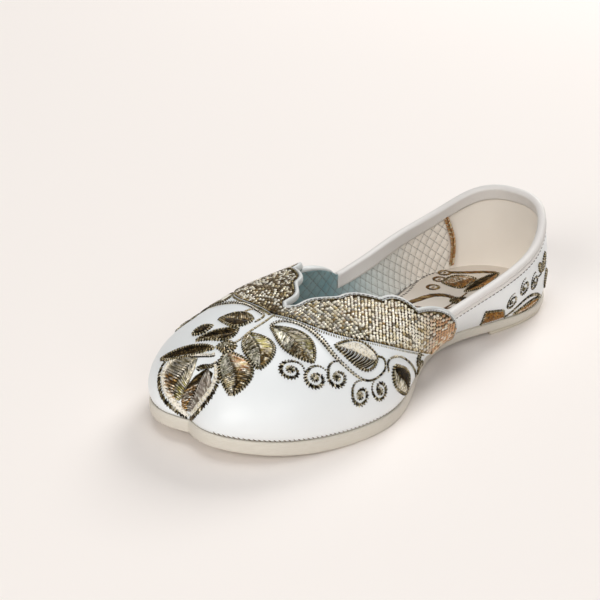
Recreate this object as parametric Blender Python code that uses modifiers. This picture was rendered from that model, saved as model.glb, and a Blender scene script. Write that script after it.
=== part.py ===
"""Embroidered ballet flat of the jutti kind: the construction, in metres, +Z up.

The shoe stands on z = 0 with its toe towards -Y and its heel towards +Y. Its last is straight:
left and right of the centre line x = 0 are mirror images. Lengths in the tables are millimetres.
A station t is the distance forward of the back of the heel, and a place on the upper is (u, v):
u runs along the feather line from heel back (0) to toe notch (1), and v runs up the wall from the
feather line (0) to the ridge over the centre line (1).
"""
import bpy
import numpy as np

MM = 0.001

# Driving dimensions.
LAST_LENGTH = 236.0        # back of the heel to the two lobes of the toe
BALL_WIDTH = 96.0          # across the feather line at the ball
HEEL_Y = 119.53            # where the back of the heel stands on the Y axis
TOE_SPRING = 7.0           # rise of the outsole at the tip of the toe
SPRING_LENGTH = 60.0       # stretch of sole that rises
SPRING_END = 242.0         # station where the full rise is reached
HEEL_RISE = 2.0            # underside of the outsole above the floor at the heel
RISE_BACK, RISE_FRONT = 75.0, 140.0    # the rise runs out between these stations
UPPER_WALL = 1.8           # outer leather and lining together
SOLE_MARGIN = 1.0          # outsole beyond the feather line
SEAT_GAP = 0.3             # clearance between pieces that meet
INSOLE_INSET = 2.6         # insole inside the feather line
INSOLE_THICKNESS = 1.8
LIFT_INSET = 0.8           # heel lift inside the edge of the outsole
LIFT_FRONT = 64.0          # station of the lift's front edge
LIFT_CURVE = 4.0           # how far that edge bows back at the centre line
BINDING_END = 0.445        # u where the binding runs in under the vamp wing
BINDING_SKIN = 0.8         # leather of the binding
BINDING_OUTER = 4.6        # depth of the binding on the outside
BINDING_INNER = 6.5        # depth of the binding on the inside
BINDING_ROLL = 0.4         # rounding where the binding turns over the edge
OUTSOLE_ROUND = 0.7        # rounding of the outsole's rim
THIN_ROUND = 0.4           # rounding of the insole's and the heel lift's rims

# Shape of one cross-section: exponents of the wall's sweep in and up, and how far the sweep
# keeps its width before it turns in to the ridge.
SWEEP_IN = 2.8
SWEEP_UP = 1.5
SHOULDER = 0.56
ROW_SPREAD = 1.4

# The last's outline. along and apex are fractions of LAST_LENGTH, half_width is a fraction of
# half the BALL_WIDTH, apex is the station where the section meets the ridge, and flare (mm) is
# how far the wall leans out past the sole.
LAST_COLUMNS = ("name", "along", "half_width", "apex", "flare")
LAST_ROWS = (
    ("heel_back", 0.013, 0.000, 0.148, 4.0),
    ("heel_turn", 0.040, 0.360, 0.153, 4.5),
    ("heel_side", 0.119, 0.583, 0.203, 5.0),
    ("seat_front", 0.250, 0.573, 0.305, 11.0),
    ("waist", 0.420, 0.438, 0.420, 16.5),
    ("ball_rear", 0.572, 0.740, 0.551, 7.0),
    ("ball", 0.703, 1.000, 0.665, 5.5),
    ("toe_side", 0.847, 0.917, 0.780, 5.0),
    ("shoulder", 0.947, 0.667, 0.869, 5.5),
    ("lobe", 1.000, 0.208, 0.928, 1.5),
    ("notch", 0.987, 0.000, 0.936, 0.0),
)

# Heights (mm) along the centre line: the ridge that the sections sweep up to, the collar's
# topline and the thickness of the outsole.
RIDGE = ((0, 82), (58, 75), (97, 60), (126, 50), (155, 44), (184, 41.3), (213, 38.5), (242, 27))
TOPLINE = ((0, 56), (29, 43), (58, 34.5), (97, 28), (126, 25.5))
OUTSOLE = ((0, 4.0), (60, 4.2), (100, 4.8), (150, 6.0), (242, 5.6))

# The vamp wing's scalloped edge, from the throat back to the sole: each lobe runs from its own
# cusp to the next row's, bulge is its rise above the line between them, and roundness is the
# power of the sine that shapes it.
WING_COLUMNS = ("u", "v", "bulge", "roundness")
WING_ROWS = (
    (0.750, 1.000, 0.000, 1.0),
    (0.737, 0.962, 0.040, 1.5),
    (0.657, 0.850, 0.050, 1.0),
    (0.605, 0.667, 0.055, 1.0),
    (0.547, 0.442, 0.045, 0.7),
    (0.365, 0.020, 0.000, 1.0),
)

# Columns of the upper's mesh: (u where a stretch ends, divisions in the stretch).
UPPER_STRETCHES = ((0.160, 8), (0.445, 14), (0.547, 7), (0.605, 7), (0.657, 7), (0.737, 7),
                   (0.750, 2), (1.000, 14))
UPPER_ROWS = 12
SOLE_COLUMNS = 56
SOLE_END_CROWDING = 0.35   # share of the sole's columns drawn towards heel back and toe notch
SOLE_RINGS = 3
LIFT_SIDE_COLUMNS = 20
LIFT_FRONT_COLUMNS = 8
WELD_DISTANCE = 0.00005    # metres

MATERIALS = {
    "upper": ("white_leather", (0.86, 0.87, 0.87), 0.42),
    "topline_binding": ("white_binding_leather", (0.84, 0.85, 0.85), 0.45),
    "insole": ("beige_lining_leather", (0.66, 0.57, 0.48), 0.62),
    "outsole": ("cream_sole_leather", (0.67, 0.60, 0.49), 0.55),
    "heel_lift": ("tan_heel_leather", (0.50, 0.42, 0.31), 0.65),
}


def spline(knots, values, at, start_slope=None):
    """Cubic spline with a continuous second derivative; the ends are natural unless clamped."""
    knots, values = np.asarray(knots, float), np.asarray(values, float)
    at = np.asarray(at, float)
    count = len(knots)
    step = np.diff(knots)
    rise = np.diff(values) / step
    matrix = np.zeros((count, count))
    target = np.zeros(count)
    for i in range(1, count - 1):
        matrix[i, i - 1:i + 2] = step[i], 2 * (step[i - 1] + step[i]), step[i - 1]
        target[i] = 3 * (step[i] * rise[i - 1] + step[i - 1] * rise[i])
    matrix[0, :2] = (2, 1) if start_slope is None else (1, 0)
    target[0] = 3 * rise[0] if start_slope is None else start_slope
    matrix[-1, -2:] = 1, 2
    target[-1] = 3 * rise[-1]
    slope = np.linalg.solve(matrix, target)
    i = np.clip(np.searchsorted(knots, at) - 1, 0, count - 2)
    f = (at - knots[i]) / step[i]
    return ((2 * f**3 - 3 * f**2 + 1) * values[i] + (f**3 - 2 * f**2 + f) * step[i] * slope[i]
            + (3 * f**2 - 2 * f**3) * values[i + 1] + (f**3 - f**2) * step[i] * slope[i + 1])


def column(rows, names, name):
    """One named column of a table as an array."""
    return np.array([row[names.index(name)] for row in rows], float)


ALONG = column(LAST_ROWS, LAST_COLUMNS, "along") * LAST_LENGTH
HALF = column(LAST_ROWS, LAST_COLUMNS, "half_width") * BALL_WIDTH / 2
APEX = column(LAST_ROWS, LAST_COLUMNS, "apex") * LAST_LENGTH
FLARE = column(LAST_ROWS, LAST_COLUMNS, "flare")
CHORD = np.concatenate([[0], np.cumsum(np.hypot(np.diff(ALONG), np.diff(HALF)))])
U_KNOTS = CHORD / CHORD[-1]


def profile(table, t):
    """Height from a (station, height) table at station t, level at the heel."""
    return spline([row[0] for row in table], [row[1] for row in table], t, start_slope=0)


def feather(u):
    """Half-width and station of the feather line, where upper meets sole."""
    return spline(U_KNOTS, HALF, u), spline(U_KNOTS, ALONG, u, start_slope=0)


def feather_normal(u):
    """Unit vector (across, forward) pointing out of the feather line; straight ahead at the
    notch, where the two halves meet."""
    nudge = 1e-4
    x0, t0 = feather(np.clip(u - nudge, 0, 1))
    x1, t1 = feather(np.clip(u + nudge, 0, 1))
    length = np.hypot(x1 - x0, t1 - t0)
    return (t1 - t0) / length, -(x1 - x0) / length


def underside(t):
    """Height of the outsole's underside: flat at the ball, sprung at the toe, up at the heel."""
    toe = TOE_SPRING * np.clip((t - SPRING_END) / SPRING_LENGTH + 1, 0, 1.1) ** 2
    w = np.clip((RISE_FRONT - t) / (RISE_FRONT - RISE_BACK), 0, 1)
    return toe + HEEL_RISE * w * w * (3 - 2 * w)


def tread_top(t):
    """Height of the outsole's upper face."""
    return underside(t) + profile(OUTSOLE, t)


def last_point(u, v):
    """Outer face of the upper at (u, v) as an array of (x, y, z), for the half with x >= 0.

    The plan position slides from the feather point to the apex on a quadratic Bezier curve
    while the height rises to the ridge; the flare leans the middle of the wall outwards.
    """
    u, v = np.broadcast_arrays(np.asarray(u, float), np.asarray(v, float))
    x0, t0 = feather(u)
    across, forward = feather_normal(u)
    turn = np.pi / 2 * (1 - (1 - v) ** ROW_SPREAD)
    inward = 1 - np.clip(np.cos(turn), 1e-9, 1) ** (2 / SWEEP_IN)
    upward = np.clip(np.sin(turn), 1e-9, 1) ** (2 / SWEEP_UP)
    lean = np.sin(2 * turn) * spline(U_KNOTS, FLARE, u)
    apex = spline(U_KNOTS, APEX, u)
    x = (1 - inward) ** 2 * x0 + 2 * inward * (1 - inward) * SHOULDER * x0 + across * lean
    t = (1 - inward) ** 2 * t0 + (1 - (1 - inward) ** 2) * apex + forward * lean
    foot = tread_top(t0) + SEAT_GAP
    z = foot + upward * (profile(RIDGE, t) - foot)
    return np.stack([x, HEEL_Y - t, z], -1)


def wall_normal(u, v):
    """Unit normal of the outer face, pointing out of the shoe."""
    nudge = 1e-3
    along = last_point(np.clip(u + nudge, 0, 1), v) - last_point(np.clip(u - nudge, 0, 1), v)
    up = last_point(u, np.clip(v + nudge, 0, 1)) - last_point(u, np.clip(v - nudge, 0, 1))
    normal = np.cross(up, along)
    return normal / np.linalg.norm(normal, axis=-1, keepdims=True)


def topline_v(u):
    """v where each section reaches the collar's topline, found by halving the interval."""
    low, high = np.zeros_like(u), np.ones_like(u)
    for _ in range(30):
        middle = (low + high) / 2
        point = last_point(u, middle)
        stop = profile(TOPLINE, HEEL_Y - point[..., 1])
        below = point[..., 2] < stop
        low, high = np.where(below, middle, low), np.where(below, high, middle)
    return middle


def wing_v(u):
    """v of the vamp wing's scalloped edge: straight lines between cusps plus a bulge each."""
    cusp_u = column(WING_ROWS, WING_COLUMNS, "u")[::-1]
    cusp_v = column(WING_ROWS, WING_COLUMNS, "v")[::-1]
    bulge = column(WING_ROWS, WING_COLUMNS, "bulge")[::-1][1:]
    power = column(WING_ROWS, WING_COLUMNS, "roundness")[::-1][1:]
    i = np.clip(np.searchsorted(cusp_u, u, side="right") - 1, 0, len(cusp_u) - 2)
    f = np.clip((u - cusp_u[i]) / (cusp_u[i + 1] - cusp_u[i]), 0, 1)
    line = cusp_v[i] + f * (cusp_v[i + 1] - cusp_v[i])
    return np.where(u < cusp_u[0], 0.0, line + bulge[i] * np.sin(np.pi * f) ** power[i])


def upper_edge_v(u):
    """v of the upper's free edge: the higher of topline and wing, or the ridge ahead of them."""
    throat = WING_ROWS[0][0]
    edge = np.maximum(topline_v(u), wing_v(u))
    return np.where(u >= throat, 1.0, np.minimum(edge, 1.0))


def stations(stretches):
    """Columns that end each stretch exactly on its u."""
    values, start = [0.0], 0.0
    for end, divisions in stretches:
        values += list(np.linspace(start, end, divisions + 1)[1:])
        start = end
    return np.array(values)


def grid_faces(columns, rows, closed_rows=False):
    """Quads of a columns x rows grid of vertices; closed_rows joins the last row to the first."""
    wrap = rows if closed_rows else rows - 1
    return [(i * rows + j, i * rows + (j + 1) % rows, (i + 1) * rows + (j + 1) % rows,
             (i + 1) * rows + j) for i in range(columns - 1) for j in range(wrap)]


def make_object(name, points, faces, collection):
    """A mesh object from millimetre points, with its own material."""
    mesh = bpy.data.meshes.new(name)
    mesh.from_pydata((np.asarray(points) * MM).tolist(), [], faces)
    mesh.update()
    made = bpy.data.objects.new(name, mesh)
    collection.objects.link(made)
    material_name, colour, roughness = MATERIALS[name]
    material = bpy.data.materials.new(material_name)
    material.use_nodes = True
    shader = material.node_tree.nodes["Principled BSDF"]
    shader.inputs["Base Color"].default_value = (*colour, 1)
    shader.inputs["Roughness"].default_value = roughness
    shader.inputs["Metallic"].default_value = 0.0
    mesh.materials.append(material)
    mesh.shade_smooth()
    mesh.set_sharp_from_angle(angle=np.radians(40))
    return made


def mirror_half(made):
    """Joins the half with x >= 0 to its mirror image at the plane x = 0."""
    mirror = made.modifiers.new("other_half", 'MIRROR')
    mirror.use_axis = (True, False, False)
    mirror.use_clip = True
    mirror.use_mirror_merge = True
    mirror.merge_threshold = WELD_DISTANCE


def snap_to_plane(points, on_plane):
    """Puts the marked points exactly on the centre plane."""
    points[..., 0] = np.where(on_plane, 0.0, points[..., 0])
    return points


def build_upper(collection):
    """Quarters and winged vamp as one wall, open at the collar and at the feather line."""
    u = stations(UPPER_STRETCHES)
    share = np.linspace(0, 1, UPPER_ROWS + 1)
    v = upper_edge_v(u)[:, None] * share
    points = last_point(u[:, None], v)
    centre = (u[:, None] == 0) | (u[:, None] == 1) | (v == 1)
    points = snap_to_plane(points, centre)
    made = make_object("upper", points.reshape(-1, 3), grid_faces(len(u), len(share)), collection)
    mirror_half(made)
    wall = made.modifiers.new("wall", 'SOLIDIFY')
    wall.thickness = UPPER_WALL * MM
    wall.offset = -1.0
    wall.use_even_offset = True
    wall.use_quality_normals = True


def build_binding(collection):
    """Leather strip folded over the quarter's top edge, from one wing round the heel to the
    other: a U-shaped channel whose legs hang down the outside and the inside of the wall."""
    u = stations(UPPER_STRETCHES)
    u = u[u <= BINDING_END]
    top = topline_v(u)
    nudge = 1e-3
    per_v = np.linalg.norm(last_point(u, top + nudge) - last_point(u, top - nudge), axis=-1)
    mm_in_v = 2 * nudge / per_v
    inner = UPPER_WALL + SEAT_GAP
    outer_skin = SEAT_GAP + BINDING_SKIN
    # Section corners: distance above the wall's edge, distance out from the wall's outer face.
    section = ((-BINDING_OUTER, SEAT_GAP), (-BINDING_OUTER, outer_skin),
               (-BINDING_ROLL, outer_skin), (outer_skin, SEAT_GAP), (outer_skin, -inner),
               (-BINDING_ROLL, -inner - BINDING_SKIN),
               (-BINDING_INNER, -inner - BINDING_SKIN), (-BINDING_INNER, -inner),
               (SEAT_GAP, -inner), (SEAT_GAP, SEAT_GAP))
    rise = np.array([corner[0] for corner in section])
    out = np.array([corner[1] for corner in section])
    v = top[:, None] + rise * mm_in_v[:, None]
    points = last_point(u[:, None], v) + wall_normal(u[:, None], v) * out[:, None]
    points = snap_to_plane(points, u[:, None] == 0)
    faces = grid_faces(len(u), len(section), closed_rows=True)
    last = (len(u) - 1) * len(section)
    faces.append(tuple(range(last, last + len(section))))
    made = make_object("topline_binding", points.reshape(-1, 3), faces, collection)
    mirror_half(made)


def slab_section(u, offset, edge, low, high):
    """Rings of points round half a slab: along its lower face from the centre line to the rim,
    up the rim and back along its upper face.

    offset moves the outline out from the feather line, edge is the rounding of the rim, and low
    and high give the two faces' heights at a station.
    """
    x0, t0 = feather(u)
    across, forward = feather_normal(u)
    apex = spline(U_KNOTS, APEX, u)
    inset = (np.arange(SOLE_RINGS + 1) / SOLE_RINGS)[::-1]
    # (distance in from the rim, share of the way in to the centre line, height share)
    path = [(edge, share, 0.0, 0.0) for share in inset]
    path += [(0.0, 0.0, edge, 0.0), (0.0, 0.0, -edge, 1.0)]
    path += [(edge, share, 0.0, 1.0) for share in inset[::-1]]
    rings = []
    for back, share, lift, face in path:
        reach = offset - back
        x = np.maximum(x0 + across * reach, 0) * (1 - share)
        t = t0 + forward * reach
        t = t + (apex - t) * share
        z = low(t) * (1 - face) + high(t) * face + lift
        rings.append(np.stack([x, HEEL_Y - t, z], -1))
    return np.stack(rings, 1)


def build_slab(name, offset, edge, low, high, collection):
    """A sole-shaped slab: half its outline swept in to the centre line, then mirrored."""
    even = np.linspace(0, 1, SOLE_COLUMNS + 1)
    crowded = 0.5 - 0.5 * np.cos(np.pi * even)
    u = (1 - SOLE_END_CROWDING) * even + SOLE_END_CROWDING * crowded
    points = slab_section(u, offset, edge, low, high)
    rows = points.shape[1]
    on_plane = np.zeros(points.shape[:2], bool)
    on_plane[0] = on_plane[-1] = True
    on_plane[:, 0] = on_plane[:, -1] = True
    points = snap_to_plane(points, on_plane)
    made = make_object(name, points.reshape(-1, 3), grid_faces(len(u), rows), collection)
    mirror_half(made)
    return made


def build_outsole(collection):
    """Leather outsole with its arch, toe spring and heart-shaped toe notch."""
    build_slab("outsole", SOLE_MARGIN, OUTSOLE_ROUND, underside, tread_top, collection)


def build_insole(collection):
    """Footbed lying on the outsole inside the wall of the upper."""
    def low(t):
        return tread_top(t) + SEAT_GAP

    def high(t):
        return tread_top(t) + SEAT_GAP + INSOLE_THICKNESS

    build_slab("insole", -INSOLE_INSET, THIN_ROUND, low, high, collection)


def build_lift(collection):
    """Heel lift under the seat: the outsole's heel outline cut off by a bowed front edge."""
    reach = SOLE_MARGIN - LIFT_INSET
    top = HEEL_RISE - SEAT_GAP
    centre_t = LIFT_FRONT / 2
    u = np.linspace(0, np.interp(LIFT_FRONT, ALONG, U_KNOTS), LIFT_SIDE_COLUMNS + 1)
    x0, t0 = feather(u)
    across, forward = feather_normal(u)
    x, t = x0 + across * reach, t0 + forward * reach
    x[0] = 0.0
    span = np.linspace(1, 0, LIFT_FRONT_COLUMNS + 1)[1:]
    x = np.concatenate([x, x[-1] * span])
    t = np.concatenate([t, t[-1] - LIFT_CURVE * (1 - span ** 2)])
    # Rings from the middle of the lower face out to the rim and back in along the upper face:
    # (share of the outline's size, height).
    pulled_in = 1 - THIN_ROUND / centre_t
    rings = [np.stack([x * size, HEEL_Y - centre_t - (t - centre_t) * size, x * 0 + z], -1)
             for size, z in ((0, 0.0), (pulled_in, 0.0), (1, THIN_ROUND),
                             (1, top - THIN_ROUND), (pulled_in, top), (0, top))]
    points = np.stack(rings, 1).reshape(-1, 3)
    faces = grid_faces(len(x), len(rings))
    made = make_object("heel_lift", points, faces, collection)
    weld = made.modifiers.new("centre", 'WELD')
    weld.merge_threshold = WELD_DISTANCE
    mirror_half(made)


def main():
    for old in list(bpy.data.objects):
        bpy.data.objects.remove(old, do_unlink=True)
    collection = bpy.data.collections.new("embroidered_ballet_flat")
    bpy.context.scene.collection.children.link(collection)
    build_outsole(collection)
    build_lift(collection)
    build_insole(collection)
    build_upper(collection)
    build_binding(collection)


main()
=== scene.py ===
"""White leather jutti with gold zari embroidery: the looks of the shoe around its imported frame.

Lengths are millimetres unless a name says otherwise, +Z is up and the toe points to -Y. The upper is
worked out as one surface over a chart of two numbers, and every layer on it is placed by chart:
round is the distance in millimetres from the back of the heel along the feather line, where upper meets
sole, and rise is how far up the wall a place is, in percent: 0 at the feather line of the +X side, 100 at
the ridge over the centre line and 200 at the feather line of the -X side. Past 280, the notch of the toe,
round carries on back along the -X side with rise counted from its own feather line.
"""

import bmesh
import bpy
import numpy as np
from mathutils import Matrix, Vector


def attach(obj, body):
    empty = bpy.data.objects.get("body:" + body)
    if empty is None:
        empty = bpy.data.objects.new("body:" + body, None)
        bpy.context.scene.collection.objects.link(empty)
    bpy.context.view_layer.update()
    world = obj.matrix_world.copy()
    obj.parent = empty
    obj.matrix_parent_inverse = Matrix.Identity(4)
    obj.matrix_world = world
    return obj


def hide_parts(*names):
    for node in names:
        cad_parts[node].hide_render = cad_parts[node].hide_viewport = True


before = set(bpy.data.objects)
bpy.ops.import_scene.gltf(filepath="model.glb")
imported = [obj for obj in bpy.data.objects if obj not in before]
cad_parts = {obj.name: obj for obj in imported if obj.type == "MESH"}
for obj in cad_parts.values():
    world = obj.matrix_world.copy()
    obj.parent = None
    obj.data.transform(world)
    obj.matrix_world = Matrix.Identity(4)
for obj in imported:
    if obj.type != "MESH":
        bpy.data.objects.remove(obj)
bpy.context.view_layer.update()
scene = bpy.context.scene
MM = 0.001

# ---- The last: the same outline, sections and sole as the construction ----
LAST_LENGTH = 236.0
BALL_WIDTH = 96.0
HEEL_Y = 119.53
TOE_SPRING, SPRING_LENGTH, SPRING_END = 7.0, 60.0, 242.0
HEEL_RISE, RISE_BACK, RISE_FRONT = 2.0, 75.0, 140.0
WALL = 1.8                 # outer leather and lining together
UPPER_THICKNESS, LINING_THICKNESS, WING_THICKNESS, GROUND_THICKNESS = 0.85, 0.7, 0.5, 0.25
SEAT_GAP = 0.3
SOLE_MARGIN = 1.0
INSOLE_INSET, INSOLE_THICKNESS = 2.6, 1.8
LIFT_INSET, LIFT_FRONT, LIFT_CURVE = 0.8, 64.0, 4.0
SWEEP_IN, SWEEP_UP, SHOULDER, ROW_SPREAD = 2.8, 1.5, 0.56, 1.4

LAST_COLUMNS = ("name", "along", "half_width", "apex", "flare")
LAST_ROWS = (
    ("heel_back", 0.013, 0.000, 0.148, 4.0),
    ("heel_turn", 0.040, 0.360, 0.153, 4.5),
    ("heel_side", 0.119, 0.583, 0.203, 5.0),
    ("seat_front", 0.250, 0.573, 0.305, 11.0),
    ("waist", 0.420, 0.438, 0.420, 16.5),
    ("ball_rear", 0.572, 0.740, 0.551, 7.0),
    ("ball", 0.703, 1.000, 0.665, 5.5),
    ("toe_side", 0.847, 0.917, 0.780, 5.0),
    ("shoulder", 0.947, 0.667, 0.869, 5.5),
    ("lobe", 1.000, 0.208, 0.928, 1.5),
    ("notch", 0.987, 0.000, 0.936, 0.0),
)
# Heights along the centre line at stations measured forward from the back of the heel.
RIDGE = ((0, 82), (58, 75), (97, 60), (126, 50), (155, 44), (184, 41.3), (213, 38.5), (242, 27))
TOPLINE = ((0, 56), (29, 43), (58, 34.5), (97, 28), (126, 25.5))
OUTSOLE = ((0, 4.0), (60, 4.2), (100, 4.8), (150, 6.0), (242, 5.6))

# The wing's scalloped edge: cusps between lobes, each lobe's bulge and the power of its sine.
WING_COLUMNS = ("u", "v", "bulge", "roundness")
WING_ROWS = (
    (0.750, 1.000, 0.000, 1.0),
    (0.737, 0.962, 0.040, 1.5),
    (0.657, 0.850, 0.050, 1.0),
    (0.605, 0.667, 0.055, 1.0),
    (0.547, 0.442, 0.045, 0.7),
    (0.365, 0.020, 0.000, 1.0),
)


def spline(knots, values, at, start_slope=None):
    """Cubic spline with a continuous second derivative; the ends are natural unless clamped."""
    knots, values, at = np.asarray(knots, float), np.asarray(values, float), np.asarray(at, float)
    count = len(knots)
    step = np.diff(knots)
    gradient = np.diff(values) / step
    matrix, target = np.zeros((count, count)), np.zeros(count)
    for i in range(1, count - 1):
        matrix[i, i - 1:i + 2] = step[i], 2 * (step[i - 1] + step[i]), step[i - 1]
        target[i] = 3 * (step[i] * gradient[i - 1] + step[i - 1] * gradient[i])
    matrix[0, :2] = (2, 1) if start_slope is None else (1, 0)
    target[0] = 3 * gradient[0] if start_slope is None else start_slope
    matrix[-1, -2:] = 1, 2
    target[-1] = 3 * gradient[-1]
    slope = np.linalg.solve(matrix, target)
    i = np.clip(np.searchsorted(knots, at) - 1, 0, count - 2)
    f = (at - knots[i]) / step[i]
    return ((2 * f**3 - 3 * f**2 + 1) * values[i] + (f**3 - 2 * f**2 + f) * step[i] * slope[i]
            + (3 * f**2 - 2 * f**3) * values[i + 1] + (f**3 - f**2) * step[i] * slope[i + 1])


def mix(first, second, share):
    """The weighted mean of two values: share of the second and the rest of the first."""
    return first * (1 - share) + second * share


def unit(vectors):
    """Vectors made one long."""
    return vectors / np.linalg.norm(vectors, axis=-1, keepdims=True)


def run_along(points):
    """How far along a line of points each of them lies; several lines may be given at once."""
    steps = np.linalg.norm(np.diff(points, axis=-2), axis=-1)
    return np.concatenate([np.zeros((*steps.shape[:-1], 1)), np.cumsum(steps, axis=-1)], -1)


def column(rows, names, name):
    """One named column of a table as an array."""
    return np.array([row[names.index(name)] for row in rows], float)


CUSP_U, CUSP_V, BULGE, ROUNDNESS = (column(WING_ROWS, WING_COLUMNS, name)[::-1] for name in WING_COLUMNS)
ALONG = column(LAST_ROWS, LAST_COLUMNS, "along") * LAST_LENGTH
HALF = column(LAST_ROWS, LAST_COLUMNS, "half_width") * BALL_WIDTH / 2
APEX = column(LAST_ROWS, LAST_COLUMNS, "apex") * LAST_LENGTH
FLARE = column(LAST_ROWS, LAST_COLUMNS, "flare")
CHORD = np.concatenate([[0], np.cumsum(np.hypot(np.diff(ALONG), np.diff(HALF)))])
FEATHER_LENGTH = CHORD[-1]
U_KNOTS = CHORD / FEATHER_LENGTH


def profile(table, t):
    """Height from a (station, height) table at station t, level at the heel."""
    return spline([row[0] for row in table], [row[1] for row in table], t, start_slope=0)


def feather(u):
    """Half-width and station of the feather line."""
    return spline(U_KNOTS, HALF, u), spline(U_KNOTS, ALONG, u, start_slope=0)


def feather_normal(u):
    """Unit vector (across, forward) pointing out of the feather line."""
    nudge = 1e-4
    x0, t0 = feather(np.clip(u - nudge, 0, 1))
    x1, t1 = feather(np.clip(u + nudge, 0, 1))
    length = np.hypot(x1 - x0, t1 - t0)
    return (t1 - t0) / length, -(x1 - x0) / length


def at_station(x, t, height):
    """Points from their place across, their station forward of the heel's back and their height."""
    return np.stack([x, HEEL_Y - t, height], -1)


def underside(t):
    """Height of the outsole's underside: flat at the ball, sprung at the toe, up at the heel."""
    toe = TOE_SPRING * np.clip((t - SPRING_END) / SPRING_LENGTH + 1, 0, 1.1) ** 2
    w = np.clip((RISE_FRONT - t) / (RISE_FRONT - RISE_BACK), 0, 1)
    return toe + HEEL_RISE * w * w * (3 - 2 * w)


def tread_top(t):
    """Height of the outsole's upper face."""
    return underside(t) + profile(OUTSOLE, t)


def last_point(u, v):
    """Outer face of the upper on the +X side: the plan place slides from the feather point to the apex
    on a quadratic Bezier while the height rises to the ridge, and the flare leans the wall out."""
    u, v = np.broadcast_arrays(np.asarray(u, float), np.asarray(v, float))
    x0, t0 = feather(u)
    across, forward = feather_normal(u)
    turn = np.pi / 2 * (1 - (1 - v) ** ROW_SPREAD)
    inward = 1 - np.clip(np.cos(turn), 1e-9, 1) ** (2 / SWEEP_IN)
    upward = np.clip(np.sin(turn), 1e-9, 1) ** (2 / SWEEP_UP)
    lean = np.sin(2 * turn) * spline(U_KNOTS, FLARE, u)
    apex = spline(U_KNOTS, APEX, u)
    x = (1 - inward) ** 2 * x0 + 2 * inward * (1 - inward) * SHOULDER * x0 + across * lean
    t = (1 - inward) ** 2 * t0 + (1 - (1 - inward) ** 2) * apex + forward * lean
    foot = tread_top(t0) + SEAT_GAP
    return at_station(x, t, foot + upward * (profile(RIDGE, t) - foot))


def wall_normal(u, v):
    """Unit normal of the outer face, out of the shoe: the cross product of the steps up the wall and
    round the feather line."""
    nudge = 1e-3
    along = last_point(np.clip(u + nudge, 0, 1), v) - last_point(np.clip(u - nudge, 0, 1), v)
    rise = last_point(u, np.clip(v + nudge, 0, 1)) - last_point(u, np.clip(v - nudge, 0, 1))
    return unit(np.cross(rise, along))


def wall_point(u, v, out=0.0):
    """Point `out` mm off the outer face. v from 1 to 2 comes down the -X side as the mirror image of v
    from 1 to 0, and u from 1 to 2 goes back along that side."""
    u, v, out = np.broadcast_arrays(np.asarray(u, float), np.asarray(v, float), out)
    v = np.where(u > 1, 2 - v, v)
    u = np.clip(np.where(u > 1, 2 - u, u), 0, 1)
    near = np.clip(np.where(v > 1, 2 - v, v), 0, 1)
    point = last_point(u, near) + wall_normal(u, near) * out[..., None]
    point[..., 0] *= np.where(v > 1, -1, 1)
    return point


def topline_v(u):
    """v where each section reaches the collar's topline, found by halving the interval."""
    low, high = np.zeros_like(u), np.ones_like(u)
    for _ in range(30):
        middle = (low + high) / 2
        point = last_point(u, middle)
        below = point[..., 2] < profile(TOPLINE, HEEL_Y - point[..., 1])
        low, high = np.where(below, middle, low), np.where(below, high, middle)
    return middle


def wing_v(u):
    """v of the wing's scalloped edge: straight lines between cusps, each with a bulge of
    sin(pi f)^roundness over its length, f from 0 to 1."""
    i = np.clip(np.searchsorted(CUSP_U, u, side="right") - 1, 0, len(CUSP_U) - 2)
    f = np.clip((u - CUSP_U[i]) / (CUSP_U[i + 1] - CUSP_U[i]), 0, 1)
    line = CUSP_V[i] + f * (CUSP_V[i + 1] - CUSP_V[i])
    edge = np.where(u < CUSP_U[0], 0.0, line + BULGE[i + 1] * np.sin(np.pi * f) ** ROUNDNESS[i + 1])
    return np.where(u >= CUSP_U[-1], 1.0, np.minimum(edge, 1.0))


# ---- Meshes from arrays ----
def smoothstep(low, high, x):
    """0 below low, 1 above high and the cubic 3f^2 - 2f^3 between them."""
    f = np.clip((x - low) / (high - low), 0, 1)
    return f * f * (3 - 2 * f)


def grid_quads(rows, columns, wrap_columns=False):
    """Corner numbers of the quads between neighbours of a rows x columns grid of points."""
    i = np.arange(rows - 1)[:, None]
    j = np.arange(columns if wrap_columns else columns - 1)[None, :]
    after_i, after_j = i + 1, (j + 1) % columns
    return np.stack([i * columns + j, i * columns + after_j,
                     after_i * columns + after_j, after_i * columns + j], -1).reshape(-1, 4)


def sheet(points, dye=None, uv=None, wrap_columns=False):
    """A patch from a grid of points; a patch is (points, list of face arrays, dye, uv)."""
    rows, columns = points.shape[:2]
    faces = [grid_quads(rows, columns, wrap_columns)]
    return [(points.reshape(-1, 3), faces, None if dye is None else dye.reshape(-1, 3),
             None if uv is None else uv.reshape(-1, 2))]


def prisms(points, dye):
    """A patch of closed prisms from an array (prism, station, corner, xyz): side quads between stations,
    and each end capped by its own corners. dye is one colour per prism, or one per station of each."""
    count, stations, corners = points.shape[:3]
    one = grid_quads(stations, corners, wrap_columns=True)
    start = np.arange(count)[:, None, None] * stations * corners
    sides = (one[None] + start).reshape(-1, 4)
    first = np.arange(corners)
    caps = np.stack([first[::-1], first + (stations - 1) * corners])
    caps = (caps[None] + start).reshape(-1, corners)
    spread = np.repeat(dye.reshape(-1, 3), points.size // 3 // (dye.size // 3), axis=0)
    faces = [np.concatenate([sides, caps])] if corners == 4 else [sides, caps]
    return [(points.reshape(-1, 3), faces, spread, None)]


def turned_over(patches):
    """The same patches with their faces turned to the other side."""
    return [(points, [face[:, ::-1] for face in faces], dye, uv) for points, faces, dye, uv in patches]


def mirrored(patches):
    """The same patches on the other side of the centre plane, their faces still outward."""
    flip = np.array([-1.0, 1.0, 1.0])
    return [(points * flip, *rest) for points, *rest in turned_over(patches)]


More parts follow.
